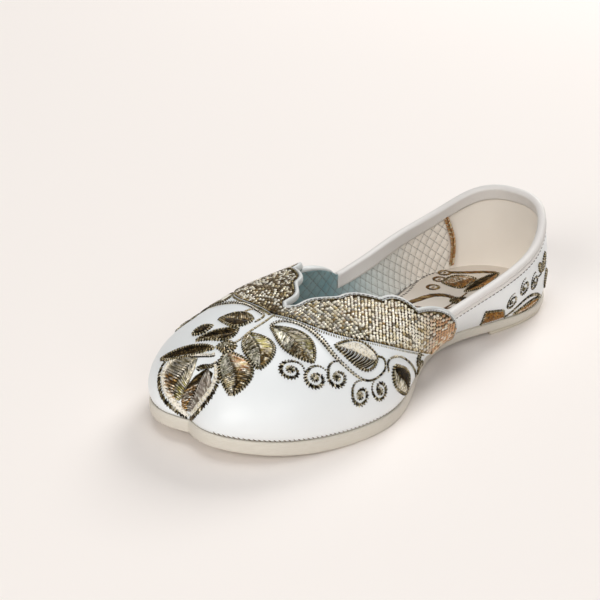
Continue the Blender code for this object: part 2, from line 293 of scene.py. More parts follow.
def pair(patches):
    """Patches with their mirror images."""
    return patches + mirrored(patches)


def make_piece(name, patches, finish, replaces=(), weld=False, wall=0.0):
    """One mesh object from patches in millimetres. weld joins points that coincide, such as along the
    centre plane; wall thickens the sheet inwards by that many millimetres."""
    points = np.concatenate([patch[0] for patch in patches]) * MM
    starts = np.cumsum([0] + [len(patch[0]) for patch in patches])
    faces = [face + start for patch, start in zip(patches, starts) for face in patch[1]]
    sizes = np.concatenate([np.full(len(face), face.shape[1]) for face in faces])
    corners = np.concatenate([face.ravel() for face in faces])
    mesh = bpy.data.meshes.new(name)
    mesh.vertices.add(len(points))
    mesh.vertices.foreach_set("co", points.astype(np.float32).ravel())
    mesh.loops.add(len(corners))
    mesh.loops.foreach_set("vertex_index", corners.astype(np.int32))
    mesh.polygons.add(len(sizes))
    mesh.polygons.foreach_set("loop_start", (np.cumsum(sizes) - sizes).astype(np.int32))
    mesh.update(calc_edges=True)
    if all(patch[2] is not None for patch in patches):
        dye = np.pad(np.concatenate([patch[2] for patch in patches]), ((0, 0), (0, 1)), constant_values=1)
        layer = mesh.attributes.new("dye", 'FLOAT_COLOR', 'POINT')
        layer.data.foreach_set("color", dye.astype(np.float32).ravel())
    if all(patch[3] is not None for patch in patches):
        uv = np.concatenate([patch[3] for patch in patches])[corners]
        mesh.uv_layers.new(name="pattern").data.foreach_set("uv", uv.astype(np.float32).ravel())
    mesh.validate()
    if weld:
        work = bmesh.new()
        work.from_mesh(mesh)
        bmesh.ops.remove_doubles(work, verts=work.verts, dist=2e-6)
        work.to_mesh(mesh)
        work.free()
    mesh.shade_smooth()
    mesh.materials.append(finish)
    piece = bpy.data.objects.new(name, mesh)
    scene.collection.objects.link(piece)
    if wall:
        thicken = piece.modifiers.new("wall", 'SOLIDIFY')
        thicken.thickness = wall * MM
        thicken.offset = -1.0
        thicken.use_even_offset = False
    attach(piece, "root")
    if replaces:
        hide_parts(*replaces)
    return piece


# ---- Materials ----
def linear(code):
    """Linear RGB of an sRGB hex colour."""
    srgb = np.array([int(code[i:i + 2], 16) for i in (1, 3, 5)]) / 255
    return np.where(srgb <= 0.04045, srgb / 12.92, ((srgb + 0.055) / 1.055) ** 2.4)


def rgba(code):
    """Socket value of an sRGB hex colour."""
    return (*linear(code), 1.0)


def add(tree, kind, inputs=None, to=None, **settings):
    """A node with its settings. inputs maps an input's name or number to a value, an sRGB hex colour, a
    socket, or a node whose first output it takes; to is the socket that the node's first output feeds."""
    made = tree.nodes.new("ShaderNode" + kind)
    for key, value in settings.items():
        setattr(made, key, value)
    for key, value in (inputs or {}).items():
        if isinstance(value, bpy.types.Node):
            value = value.outputs[0]
        if isinstance(value, bpy.types.NodeSocket):
            tree.links.new(value, made.inputs[key])
        else:
            made.inputs[key].default_value = rgba(value) if isinstance(value, str) else value
    if to is not None:
        tree.links.new(made.outputs[0], to)
    return made


def material(name, **constants):
    """A material with constants on its Principled shader, its node tree and the shader's inputs."""
    made = bpy.data.materials.new(name)
    made.use_nodes = True
    shader = made.node_tree.nodes["Principled BSDF"].inputs
    for key, value in constants.items():
        shader[key.replace("_", " ")].default_value = value
    return made, made.node_tree, shader


def pigmented_leather(name, colour, shade, roughness=0.42):
    """Chrome-tanned cowhide sprayed with pigment: even colour, a fine pebbled grain from the hide's
    pores and a soft sheen from the finishing lacquer. The pores are about 0.2 mm and are drawn at
    0.9 mm so that they show, with creases 4 mm apart and patches of shade 25 mm wide."""
    made, tree, shader = material(name, Roughness=roughness, Coat_Weight=0.12, Coat_Roughness=0.3)
    place = add(tree, "TexCoord").outputs["Object"]
    patchy = add(tree, "TexNoise", {"Vector": place, "Scale": 1000 / 25, "Detail": 3})
    add(tree, "MixRGB", {"Fac": patchy, "Color1": colour, "Color2": shade}, shader["Base Color"])
    pores = add(tree, "TexVoronoi", {"Vector": place, "Scale": 1000 / 0.9})
    creases = add(tree, "TexNoise", {"Vector": place, "Scale": 1000 / 4, "Detail": 4})
    grain = add(tree, "Math", {0: pores, 1: creases}, operation='MULTIPLY')
    add(tree, "Bump", {"Height": grain, "Strength": 0.35, "Distance": 0.06 * MM}, shader["Normal"])
    return made


def zari_thread(name, roughness=0.38, tarnish=0.65):
    """Zari: a flat silver-copper strip gilded and wound on a cotton core. Each stitch carries its own
    dye, and the winding breaks the shine into glints; the strip is 0.25 mm wide, drawn at 0.7 mm. The
    darkening between the turns, tarnish together with painted dark reflections of the surroundings, takes
    a share of about tarnish, more in some patches 5 mm wide and less in others: patches of tarnish and of
    painted reflection where the padding undulates."""
    made, tree, shader = material(name, Metallic=0.92)
    place = add(tree, "TexCoord").outputs["Object"]
    dye = add(tree, "Attribute", attribute_name="dye")
    glint = add(tree, "TexNoise", {"Vector": place, "Scale": 1000 / 0.7, "Detail": 1.5})
    # Partly tarnish, partly painted reflection: the dark specks and the 5 mm patches stand in for the
    # dark surroundings that the metal reflects.
    dark = add(tree, "MapRange", {"Value": glint, 1: 0.46, 2: 0.6, 3: 0.0, 4: tarnish})
    tarnish_and_painted_reflection = add(tree, "TexNoise", {"Vector": place, "Scale": 1000 / 5, "Detail": 1})
    tarnish_and_painted_reflection = add(tree, "MapRange", {"Value": tarnish_and_painted_reflection, 1: 0.4, 2: 0.6, 3: 0.35, 4: 1.15})
    dark = add(tree, "Math", {0: dark, 1: tarnish_and_painted_reflection}, operation='MULTIPLY')
    add(tree, "MixRGB", {"Fac": dark, "Color1": dye, "Color2": "#332a1c"}, shader["Base Color"])
    add(tree, "MapRange", {"Value": glint, 1: 0.3, 2: 0.7, 3: roughness - 0.1, 4: roughness + 0.15},
        shader["Roughness"])
    add(tree, "Bump", {"Height": glint, "Strength": 0.6, "Distance": 0.15 * MM}, shader["Normal"])
    return made


def silk_floss(name):
    """Untwisted silk floss laid side by side: soft sheen, the stitch's own dye, and fine shadow lines
    between the strands, which are 0.3 mm apart and drawn at 0.8 mm."""
    made, tree, shader = material(name, Roughness=0.5, Sheen_Weight=0.3)
    place = add(tree, "TexCoord").outputs["Object"]
    dye = add(tree, "Attribute", attribute_name="dye")
    strands = add(tree, "TexNoise", {"Vector": place, "Scale": 1000 / 0.8, "Detail": 1})
    shade = add(tree, "MapRange", {"Value": strands, 1: 0.52, 2: 0.66, 3: 0.0, 4: 0.6})
    add(tree, "MixRGB", {"Fac": shade, "Color1": dye, "Color2": "#6f6455"}, shader["Base Color"])
    return made


def cotton_thread(name, colour):
    """Spun cotton sewing thread: matt, and darker in its slubs, which are drawn at 0.8 mm."""
    made, tree, shader = material(name, Roughness=0.85, Sheen_Weight=0.2)
    place = add(tree, "TexCoord").outputs["Object"]
    slubs = add(tree, "TexNoise", {"Vector": place, "Scale": 1000 / 0.8})
    dark = (*(0.6 * linear(colour)), 1.0)
    add(tree, "MixRGB", {"Fac": slubs, "Color1": colour, "Color2": dark}, shader["Base Color"])
    return made


def sole_leather(name, colour, shade):
    """Vegetable-tanned sole leather, skived and burnished at the edge: matt fibres 3 mm long, lying in
    layers of 0.5 mm."""
    made, tree, shader = material(name, Roughness=0.6)
    place = add(tree, "TexCoord").outputs["Object"]
    place = add(tree, "Mapping", {"Vector": place, "Scale": (1, 1, 6)})
    layers = add(tree, "TexNoise", {"Vector": place, "Scale": 1000 / 3, "Detail": 3})
    add(tree, "MixRGB", {"Fac": layers, "Color1": colour, "Color2": shade}, shader["Base Color"])
    add(tree, "Bump", {"Height": layers, "Strength": 0.4, "Distance": 0.15 * MM}, shader["Normal"])
    return made


QUILT_SPACING = 4.3        # between seams of one family
QUILT_ANGLES = (42, -54)   # degrees from the feather line
QUILT_STITCH, QUILT_DEPTH = 2.4, 0.55
BRAID_ROUND = 36.5         # chart round of the braid that ends the quilting


def quilted_lining(name):
    """Cotton-backed lining leather, cream at the heel and, towards the toe, painted blue-grey: the shade
    deep inside the shoe. Forward of the braid it is quilted in lozenges by two families of machine seams
    in grey
    thread: a seam shows within 3 to 6 hundredths of its spacing, for three quarters of each stitch. The
    pattern follows the leather's own UV map, in metres of the chart."""
    made, tree, shader = material(name, Roughness=0.68, Sheen_Weight=0.15)
    uv = add(tree, "UVMap", uv_map="pattern")
    place = add(tree, "VectorMath", {0: uv, 1: (1000.0, 1000.0, 0.0)}, operation='MULTIPLY')
    masks = []
    for angle in QUILT_ANGLES:
        c, s = np.cos(np.radians(angle)), np.sin(np.radians(angle))
        across, along = (
            add(tree, "VectorMath", {0: place, 1: way}, operation='DOT_PRODUCT').outputs["Value"]
            for way in ((-s / QUILT_SPACING, c / QUILT_SPACING, 0),
                        (c / QUILT_STITCH, s / QUILT_STITCH, 0)))
        line = add(tree, "Math", {0: across, 1: 0.5}, operation='PINGPONG')
        line = add(tree, "MapRange", {"Value": line, 1: 0.03, 2: 0.06, 3: 1.0, 4: 0.0})
        dash = add(tree, "Math", {0: along}, operation='FRACT')
        dash = add(tree, "MapRange", {"Value": dash, 1: 0.72, 2: 0.8, 3: 1.0, 4: 0.35})
        masks.append(add(tree, "Math", {0: line, 1: dash}, operation='MULTIPLY'))
    forward = add(tree, "SeparateXYZ", {"Vector": place})
    quilted = add(tree, "MapRange", {"Value": forward, 1: BRAID_ROUND, 2: BRAID_ROUND + 0.5})
    seams = add(tree, "Math", {0: masks[0], 1: masks[1]}, operation='MAXIMUM')
    seams = add(tree, "Math", {0: seams, 1: quilted}, operation='MULTIPLY')
    # Painted shade: the ground turns blue-grey from 60 to 128 mm round, deep inside the shoe.
    forward = add(tree, "MapRange", {"Value": forward, 1: 60.0, 2: 128.0})
    ground = add(tree, "MixRGB", {"Fac": forward, "Color1": "#fbf4ea", "Color2": "#6496a0"})
    mottle = add(tree, "TexNoise", {"Vector": add(tree, "TexCoord").outputs["Object"], "Scale": 1000 / 12,
                                    "Detail": 3})
    mottle = add(tree, "MapRange", {"Value": mottle, 3: 0.0, 4: 0.35})
    ground = add(tree, "MixRGB", {"Fac": mottle, "Color1": ground, "Color2": "#efe3d6"})
    thread = add(tree, "Math", {0: seams, 1: 0.6}, operation='MULTIPLY')
    add(tree, "MixRGB", {"Fac": thread, "Color1": ground, "Color2": "#7f7770"}, shader["Base Color"])
    add(tree, "Bump", {"Height": seams, "Strength": 0.7, "Distance": 0.3 * MM}, shader["Normal"],
        invert=True)
    return made


white_leather = pigmented_leather("pigmented_white_leather", "#f5f7f7", "#eff2f3")
rim_leather = pigmented_leather("folded_white_leather", "#dfe1e0", "#d5d6d3", roughness=0.5)
collar_leather = pigmented_leather("collar_leather", "#ebe7e3", "#e1dcd8", roughness=0.55)
sock_leather = pigmented_leather("beige_lining_leather", "#e0d7cc", "#d9cec1", roughness=0.62)
lining = quilted_lining("quilted_lining_leather")
outsole_leather = sole_leather("cream_sole_leather", "#e2dcd1", "#d4ccbd")
lift_leather = sole_leather("tan_heel_leather", "#e6dece", "#d8cfbb")
zari = zari_thread("gold_zari")
new_zari = zari_thread("bright_gold_zari", roughness=0.33, tarnish=0.15)
silk = silk_floss("ivory_silk_floss")
grey_cotton = cotton_thread("grey_cotton_thread", "#57514a")
brown_cotton = cotton_thread("brown_cotton_thread", "#7a6448")

# Thread colours, from bright new zari to its tarnish in the shade under a stitch.
IVORY, PALE, GOLD, OLIVE, OLD_GOLD, COPPER, RUST, BRONZE, DARK = (
    linear(code) for code in ("#fbf5e8", "#f3e8cc", "#cbb88c", "#8f8662", "#a68a58", "#d3a276", "#8a5d31",
                              "#574629", "#1e1810"))
rng = np.random.default_rng(7)


def dyes(count, colours, weights):
    """One dye per stitch: a random pick among colours by weight, nudged towards a random neighbour."""
    colours = np.array(colours)
    weights = np.asarray(weights, float) / np.sum(weights)
    first = rng.choice(len(colours), count, p=weights)
    second = rng.choice(len(colours), count, p=weights)
    share = rng.random((count, 1)) * 0.4
    return mix(colours[first], colours[second], share)


# ---- Grounds to embroider on, and the stitches ----
class Ground:
    """A surface to stitch on. point(places, out) gives the points `out` mm off it for chart places in
    the last axis; low and high are the places within which its plane is taken."""

    STEP = 0.4             # of the chart, either way, from which the plane's measures are taken

    def __init__(self, point, low=-np.inf, high=np.inf):
        self.point, self.low, self.high = point, low, high

    def frame(self, places):
        """The matrices that turn small steps of places into millimetres in the surface's own plane, whose
        first axis runs along the chart's first number: a step of the second leans along it by slant and
        stands off it by upright."""
        places = np.clip(places, self.low, self.high)
        step = np.array([self.STEP, 0.0]), np.array([0.0, self.STEP])
        first, second = ((self.point(places + s, 0.0) - self.point(places - s, 0.0)) / (2 * self.STEP)
                         for s in step)
        length = np.linalg.norm(first, axis=-1)
        slant = (second * first).sum(-1) / length
        upright = np.linalg.norm(second - (slant / length)[..., None] * first, axis=-1)
        return np.stack([np.stack([length, slant], -1), np.stack([0 * length, upright], -1)], -2)

    def lay(self, places, plane, out):
        """Points for plane millimetres (n, ..., 2) about chart places (n, 2), out mm off the ground."""
        to_chart = np.linalg.inv(self.frame(places))
        step = np.einsum("nij,n...j->n...i", to_chart, plane)
        around = places.reshape(len(places), *[1] * (plane.ndim - 2), 2)
        return self.point(around + step, out)


def wall_place(places, out):
    """Point off the wall at (round, rise) places."""
    return wall_point(places[..., 0] / FEATHER_LENGTH, places[..., 1] / 100, out)


def wing_place(places, out):
    """Point off the wing at (round, rise) places."""
    return wall_place(places, out + wing_lift(places[..., 0] / FEATHER_LENGTH))


def bed_place(places, out):
    """Point off the footbed at (x, station) places, in millimetres."""
    x, t, out = np.broadcast_arrays(places[..., 0], places[..., 1], out)
    return at_station(x, t, tread_top(t) + SEAT_GAP + INSOLE_THICKNESS + out)


def walk(ground, line, pitch, phase=0.5):
    """Places every pitch mm along a line of places, the line's direction in the ground's plane at each,
    and each one's share of the way."""
    run = run_along(ground.point(line, 0.0))
    at = np.arange(phase * pitch, run[-1], pitch)
    here, ahead, behind = (np.stack([np.interp(s, run, line[:, 0]), np.interp(s, run, line[:, 1])], -1)
                           for s in (at, np.minimum(at + 0.3, run[-1]), np.maximum(at - 0.3, 0)))
    way = np.einsum("nij,nj->ni", ground.frame(here), ahead - behind)
    return here, unit(way), at / run[-1]


def curve(ground, places, samples=120):
    """A line of places through a few of them: a cubic spline over their chord length on the ground."""
    places = np.asarray(places, float)
    run = run_along(ground.point(places, 0.0))
    at = np.linspace(0, run[-1], samples)
    return np.stack([spline(run, places[:, 0], at), spline(run, places[:, 1], at)], -1)


def circle(angle):
    """Plane directions at angles from the first axis."""
    return np.stack([np.cos(angle), np.sin(angle)], -1)


def left_of(way):
    """Plane directions a quarter turn to the left."""
    return np.stack([-way[..., 1], way[..., 0]], -1)


def turned(way, degrees):
    """Plane directions turned by an angle, anticlockwise as seen from outside on the +X side."""
    c, s = np.cos(np.radians(degrees)), np.sin(np.radians(degrees))
    return np.stack([c * way[:, 0] - s * way[:, 1], s * way[:, 0] + c * way[:, 1]], -1)


def stitches(ground, at, way, length, width, height, dye, lift=0.0, stations=5):
    """Short raised stitches, one per place: a half-round section whose width and height follow
    sqrt(1 - s^2) along the stitch, s from -1 to 1, and whose foot is sunk 0.1 mm."""
    s = np.linspace(-0.97, 0.97, stations)
    girth = np.sqrt(1 - s ** 2)
    angle = np.linspace(0, np.pi, 4)
    across, crown = np.cos(angle), np.sin(angle)
    length, width, height, lift = (np.broadcast_to(value, len(at))[:, None, None]
                                   for value in (length, width, height, lift))
    plane = (way[:, None, None] * (s[:, None] * length / 2)[..., None]
             + left_of(way)[:, None, None] * (girth[:, None] * across * width / 2)[..., None])
    out = lift + girth[:, None] * crown * height - 0.1 * (1 - crown)
    return prisms(ground.lay(at, plane, out), dye)


def row(ground, line, length, width, pitch, slant, height, dye, lift=0.0, aside=0.0, phase=0.5,
        taper=(1, 1, 1), wobble=5.0):
    """A row of stitches along a line, each turned slant degrees from it and moved aside mm to its left;
    taper scales their size at the start, middle and end. dye is (colours, weights)."""
    at, way, share = walk(ground, line, pitch, phase)
    size = np.interp(share, (0, 0.5, 1), taper)
    aside = left_of(way) * (aside * size)[:, None]
    at = at + np.einsum("nij,nj->ni", np.linalg.inv(ground.frame(at)), aside)
    way = turned(way, slant + rng.normal(0, wobble, len(at)))
    width = width * (0.5 + 0.5 * size)
    return stitches(ground, at, way, length=length * size, width=width, height=height,
                    dye=dyes(len(at), *dye), lift=lift)


def cord(ground, line, width, pitch=1.15, slant=50, height=0.65, lift=0.0, taper=(1, 1, 1), dye=None):
    """Couched cord: a dark core that shows between slanting pale stitches."""
    core = row(ground, line, length=1.7, width=width * 0.95, pitch=1.1, slant=0, height=height * 0.6,
               dye=SHADE_DYE, lift=lift, taper=taper, wobble=0)
    return core + row(ground, line, length=width * 1.2, width=0.55, pitch=pitch, slant=slant,
                      height=height, dye=dye or CORD_DYE, lift=lift + 0.1, taper=taper)


def plait(ground, line, width, taper):
    """Flat plaited cord: pale strands lie slanting across it and a dark stitch ties them down at either
    edge in turn."""
    pitch, height = 1.35, 0.7
    patches = row(ground, line, length=width * 1.05, width=0.85, pitch=pitch * 0.5, slant=52,
                  height=height, dye=((IVORY, PALE), (5, 2)), taper=taper, wobble=3)
    for aside, phase in ((0.3, 0.5), (-0.3, 1.0)):
        patches += row(ground, line, length=0.5 * width, width=0.8, pitch=pitch, slant=70,
                       height=height * 0.6, dye=((DARK, BRONZE), (5, 1)), lift=height * 0.55,
                       aside=aside * width, phase=phase, taper=taper)
    return patches


def overcast(ground, line, length, away, spikes=0.0):
    """Overcast edge: a dark stitch and a pale one in turn, and with spikes a dark picot of that length
    beyond each dark stitch. away is +1 where the outside lies left of the line in the plane."""
    pitch = 1.25
    patches = []
    for dye, phase in ((EDGE_DYE, 0.25), (SHADE_DYE, 0.75)):
        patches += row(ground, line, length, width=0.65, pitch=pitch, slant=62 * away, height=0.65,
                       dye=dye, lift=0.25, phase=phase, wobble=8)
    if spikes:
        patches += row(ground, line, length=spikes, width=0.5, pitch=pitch, slant=60 * away, height=0.5,
                       dye=FRINGE_DYE, lift=0.1, aside=0.25 * (length + spikes) * away, phase=0.8,
                       wobble=14)
    return patches


def fringe(ground, line, length, aside, pitch=0.85, slant=75, height=0.45, dye=None, width=0.42,
           taper=(1, 1, 1)):
    """Picot fringe: short spikes that stand out to one side of a line."""
    return row(ground, line, length, width, pitch, slant, height, dye=dye or FRINGE_DYE, aside=aside,
               taper=taper, wobble=9)


def leaf_outline(q, peak, power):
    """Half-outline of a leaf over q from base 0 to tip 1: sin(pi q^g)^power with its peak at q = peak."""
    bend = np.log(0.5) / np.log(peak)
    return np.clip(np.sin(np.pi * np.clip(q, 0, 1) ** bend), 0, 1) ** power


class Leaf:
    """A leaf on a ground, charted by its base, its tip and the widest place of each side. Its own plane
    has the base at (0, 0) and the tip at (length, 0)."""

    def __init__(self, ground, base, tip, left, right, power=0.85):
        self.ground, self.power = ground, power
        ends = np.array([base, tip, left, right], float)
        self.centre = (ends[0] + ends[1]) / 2
        to_mm = ground.frame(self.centre[None])[0]
        self.to_chart = np.linalg.inv(to_mm)
        flat = (ends - self.centre) @ to_mm.T
        self.origin = flat[0]
        self.length = np.hypot(*(flat[1] - flat[0]))
        self.forward = (flat[1] - flat[0]) / self.length
        self.side = left_of(self.forward)
        reach = flat[2:] - flat[0]
        self.peaks = np.clip(reach @ self.forward / self.length, 0.2, 0.75)
        self.widths = reach @ self.side

    def edge(self, k, q, inset=0.0):
        """Plane points on the outline of side k, inset mm inside it."""
        reach = np.abs(self.widths[k]) * leaf_outline(q, self.peaks[k], self.power)
        return np.stack([q * self.length, np.sign(self.widths[k]) * np.maximum(reach - inset, 0)], -1)

    def vein(self, q, lean):
        """Plane points on the vein: a weighted mean of the two outlines."""
        return mix(self.edge(1, q), self.edge(0, q), lean)

    def places(self, plane):
        """Chart places of plane points."""
        flat = self.origin + plane[..., :1] * self.forward + plane[..., 1:] * self.side
        return self.centre + flat @ self.to_chart.T

    def outline(self, k, samples=60):
        """Chart line along the outline of side k from base to tip."""
        return self.places(self.edge(k, np.linspace(0, 1, samples)))

    def padding(self):
        """The dark padding under the threads: a low dome whose rim is sunk into the leather."""
        q, share = np.linspace(0, 1, 16), np.linspace(0, 1, 7)
        plane = mix(self.edge(0, q)[:, None], self.edge(1, q)[:, None], share[:, None])
        dome = 0.1 + 0.15 * np.sin(np.pi * q)[:, None] * np.sin(np.pi * share)
        rim = (share % 1 == 0) | (q[:, None] % 1 == 0)
        points = self.ground.point(self.places(plane), np.where(rim, -0.2, dome))
        if self.widths[0] < self.widths[1]:
            points = points[:, ::-1]
        return sheet(points, np.tile(mix(BRONZE, DARK, 0.6), points.shape[:2] + (1,)))

    def satin(self, k, dye, lean=0.5, lead=0.22, pitch=0.85, width=0.95, rise=0.28, inset=0.0, bend=0.05,
              tip_dye=None):
        """Threads from the vein to the outline of side k, slanting forward by lead of the length left and
        curved by a parabola of bend times the leaf's length, each a three-sided ribbon that arches over
        its middle by rise mm on a half sine. With tip_dye the dye changes to it about the middle of the
        leaf."""
        count = max(int(self.length / pitch), 5)
        q = np.linspace(0.02, 0.97, count)
        start = self.vein(q, lean)
        end = self.edge(k, np.clip(q + lead * (1 - q) + 0.01, 0, 0.995), inset)
        share = np.linspace(0, 1, 6)
        path = start[:, None] + (end - start)[:, None] * share[:, None]
        path[..., 0] += bend * self.length * share * (share - 1)
        way = np.gradient(path, axis=1)
        way /= np.linalg.norm(way, axis=-1, keepdims=True) + 1e-9
        across = left_of(way) * np.sign(self.widths[k])
        size = width * (1 + rng.normal(0, 0.08, count))
        arch = 0.12 + rise * np.sin(np.pi * (0.12 + 0.8 * share)) ** 0.8
        corners = []
        for offset, top in ((0.5, 0.0), (0.0, 1.0), (-0.5, 0.0)):
            plane = path + across * (offset * size)[:, None, None]
            out = arch * (0.35 + 0.65 * top) + 0.16 * top + rng.normal(0, 0.03, (count, 1))
            corners.append(self.ground.point(self.places(plane), out))
        tones = dyes(count * len(share), *dye).reshape(count, -1, 3)
        if tip_dye:
            late = smoothstep(0.35, 0.65, q + rng.normal(0, 0.08, count))[:, None, None]
            tones = mix(tones, dyes(count * len(share), *tip_dye).reshape(count, -1, 3), late)
        return prisms(np.stack(corners, 2), tones)


def satin_leaf(ground, spots, dye, rise=0.28, edge=1.3, spikes=0.9):
    """A leaf in satin stitch: two halves slanting forward from the vein, an overcast edge round them and
    a fringe outside it. dye is (first half, second half) or (first half, second half, first half's tip,
    second half's tip)."""
    leaf = Leaf(ground, *spots)
    patches = leaf.padding()
    for k in (0, 1):
        tip_dye = dye[2 + k] if len(dye) > 2 else None
        patches += leaf.satin(k, dye[k], lean=0.5, lead=0.25, rise=rise, tip_dye=tip_dye)
    for k in (0, 1):
        patches += overcast(ground, leaf.outline(k), length=edge, away=np.sign(leaf.widths[k]),
                            spikes=spikes)
    return patches


# Rings of stitches in a coil's knot: how many, their distance out as a share of the coil's radius, and
# their slant from the spoke. A small coil has the inner ring only.
KNOT_RINGS = ((11, 0.36, 0), (5, 0.12, 60))
SMALL_COIL = 3.0


def coil(ground, centre, radius, origin, turns):
    """A coil of cord from a place of origin into a knot: its radius comes from the origin's distance to
    the coil's own within 0.3 of a turn, holds until 0.84 of a turn, and closes to 0.38 of itself."""
    centre = np.asarray(centre, float)
    to_mm = ground.frame(centre[None])[0]
    reach = to_mm @ (np.asarray(origin, float) - centre)
    share = np.linspace(0, 1, 100)
    angle = np.arctan2(reach[1], reach[0]) - 2 * np.pi * turns * share
    size = mix(radius, 0.38 * radius, smoothstep(0.84 / turns, 1.0, share))
    size = size + (np.hypot(*reach) - radius) * (1 - smoothstep(0, 0.3 / turns, share))
    line = centre + circle(angle) * size[:, None] @ np.linalg.inv(to_mm).T
    start = 0.4 if np.hypot(*reach) > 1.3 * radius else 1.0
    width = 0.43 * radius
    patches = cord(ground, line, width, pitch=1.15, slant=62, height=0.6, taper=(start, 1.15, 0.8),
                   dye=COIL_DYE)
    outer = line[14:int(98 / turns)]
    patches += fringe(ground, outer, length=0.25 * radius, aside=0.47 * width, pitch=1.15, slant=65,
                      taper=(0.7, 1.2, 0.9), width=0.5)
    for count, ring_radius, slant in KNOT_RINGS[radius < SMALL_COIL:]:
        spoke = circle(2 * np.pi * np.arange(count) / count)
        eye = centre + (spoke * ring_radius * radius) @ np.linalg.inv(to_mm).T
        patches += stitches(ground, eye, turned(spoke, slant), length=0.38 * radius, width=0.66,
                            height=0.75, dye=dyes(len(eye), *COIL_DYE), lift=0.1)
    return patches


# Dyes of the stitches: colours and the weight of each in the random pick.
BRIGHT_DYE = ((IVORY, PALE, GOLD), (3, 6, 2))
CORD_DYE = ((IVORY, PALE, GOLD, OLIVE), (2, 4, 3, 2))
EDGE_DYE = ((PALE, GOLD, OLIVE), (4, 4, 3))
FRINGE_DYE = ((DARK, BRONZE, OLIVE, PALE), (5, 3, 1, 1))
SHADE_DYE = ((BRONZE, DARK), (1, 4))
COIL_DYE = ((IVORY, PALE, OLIVE, DARK), (1, 3, 2, 4))
LIT_SATIN = ((IVORY, PALE, GOLD, OLIVE, DARK), (4, 4, 4, 2, 2))
OLIVE_SATIN = ((IVORY, PALE, OLIVE, BRONZE, DARK), (2, 3, 4, 2, 2))
GREY_SATIN = ((IVORY, linear("#c9c6ae"), linear("#8f8e78"), DARK), (4, 4, 3, 2))
LIME_SATIN = ((IVORY, linear("#d6cb86"), linear("#9a8d50"), BRONZE), (5, 4, 3, 2))
BROWN_SATIN = ((PALE, OLD_GOLD, BRONZE, DARK), (2, 4, 3, 3))
DARK_SATIN = ((OLD_GOLD, BRONZE, DARK), (1, 3, 6))
WARM_SATIN = ((IVORY, GOLD, COPPER, RUST), (4, 4, 4, 2))
AMBER_SATIN = ((GOLD, linear("#c8913a"), linear("#a86d25"), BRONZE), (1, 5, 5, 2))
RIB_SATIN = ((IVORY, PALE, OLIVE, DARK), (8, 5, 2, 1))
FEATHER_SATIN = ((IVORY, linear("#cfc1b4"), linear("#8b7f72"), BRONZE), (2, 3, 5, 4))
GLOW_SATIN = ((IVORY, linear("#dcb06e"), RUST, BRONZE), (6, 7, 2, 1))
CREAM_SATIN = ((IVORY, PALE), (6, 2))
# The vine leaf's ivory half: pale satin with a painted highlight.
PAINTED_HIGHLIGHT_SATIN = ((IVORY, PALE), (4, 1))
CREAM_SPECKLE = ((IVORY, PALE, OLIVE, DARK), (4, 4, 2, 2))
PANEL_DYE = ((IVORY, PALE, GOLD, OLD_GOLD), (10, 5, 2, 1))
COPPER_DYE = ((IVORY, PALE, COPPER, linear("#e2b58c")), (3, 3, 4, 6))


# ---- The upper's leather, lining, binding and wing ----
def upper_edge_v(u):
    """v of the upper's free edge: the higher of topline and wing, or the ridge ahead of them."""
    return np.minimum(np.maximum(topline_v(u), wing_v(u)), 1.0)


def on_centre(points, mask):
    """Puts the marked points on the centre plane and keeps the rest on their own side."""
    points[..., 0] = np.where(mask, 0.0, np.maximum(points[..., 0], 0.0))
    return points


def build_upper():
    """Quarters and vamp: white leather from the feather line to the collar, in rows at shares
    1 - (1 - s)^1.15 of its height, which lie a little closer towards the edge."""
    u = np.unique(np.concatenate([np.linspace(0, 1, 241), CUSP_U]))[:, None]
    v = upper_edge_v(u) * (1 - (1 - np.linspace(0, 1, 56)) ** 1.15)
    points = on_centre(wall_point(u, v), (u == 0) | (u == 1) | (v == 1))
    make_piece("upper_leather", pair(sheet(points)), white_leather, ("upper",),
               weld=True, wall=UPPER_THICKNESS)


def quilt_height(p, q):
    """Pillow height 0 to 1 between the quilting seams: the product over both families of
    |sin(pi distance / spacing)|^0.6."""
    height = 1.0
    for angle in QUILT_ANGLES:
        c, s = np.cos(np.radians(angle)), np.sin(np.radians(angle))
        height = height * np.abs(np.sin(np.pi * (q * c - p * s) / QUILT_SPACING)) ** 0.6
    return height


def build_lining():
    """Lining inside the wall: smooth at the heel, quilted forward of the braid."""
    u = np.linspace(0, 1, 361)[:, None]
    v = upper_edge_v(u) * np.linspace(0, 1, 62)
    up = run_along(wall_point(u, v))
    p = np.broadcast_to(u * FEATHER_LENGTH, up.shape)
    quilted = smoothstep(BRAID_ROUND, BRAID_ROUND + 1.5, p)
    out = -WALL - QUILT_DEPTH * quilted * quilt_height(p, up)
    points = on_centre(wall_point(u, v, out), (u == 0) | (u == 1) | (v == 1))
    patches = turned_over(sheet(points, uv=np.stack([p, up], -1) * MM))
    make_piece("lining", pair(patches), lining, weld=True, wall=LINING_THICKNESS)


BINDING_END = 0.447        # u where the wing covers the binding
BINDING_OUTSIDE, BINDING_INSIDE = 4.8, 6.8      # depth of the binding's two legs
BINDING_CREASE = 2.3       # depth of the fold's crease below the edge


def per_mm(u, v):
    """dv of one millimetre up the wall."""
    nudge = 1e-3
    step = np.linalg.norm(last_point(u, v + nudge) - last_point(u, v - nudge), axis=-1)
    return 2 * nudge / step


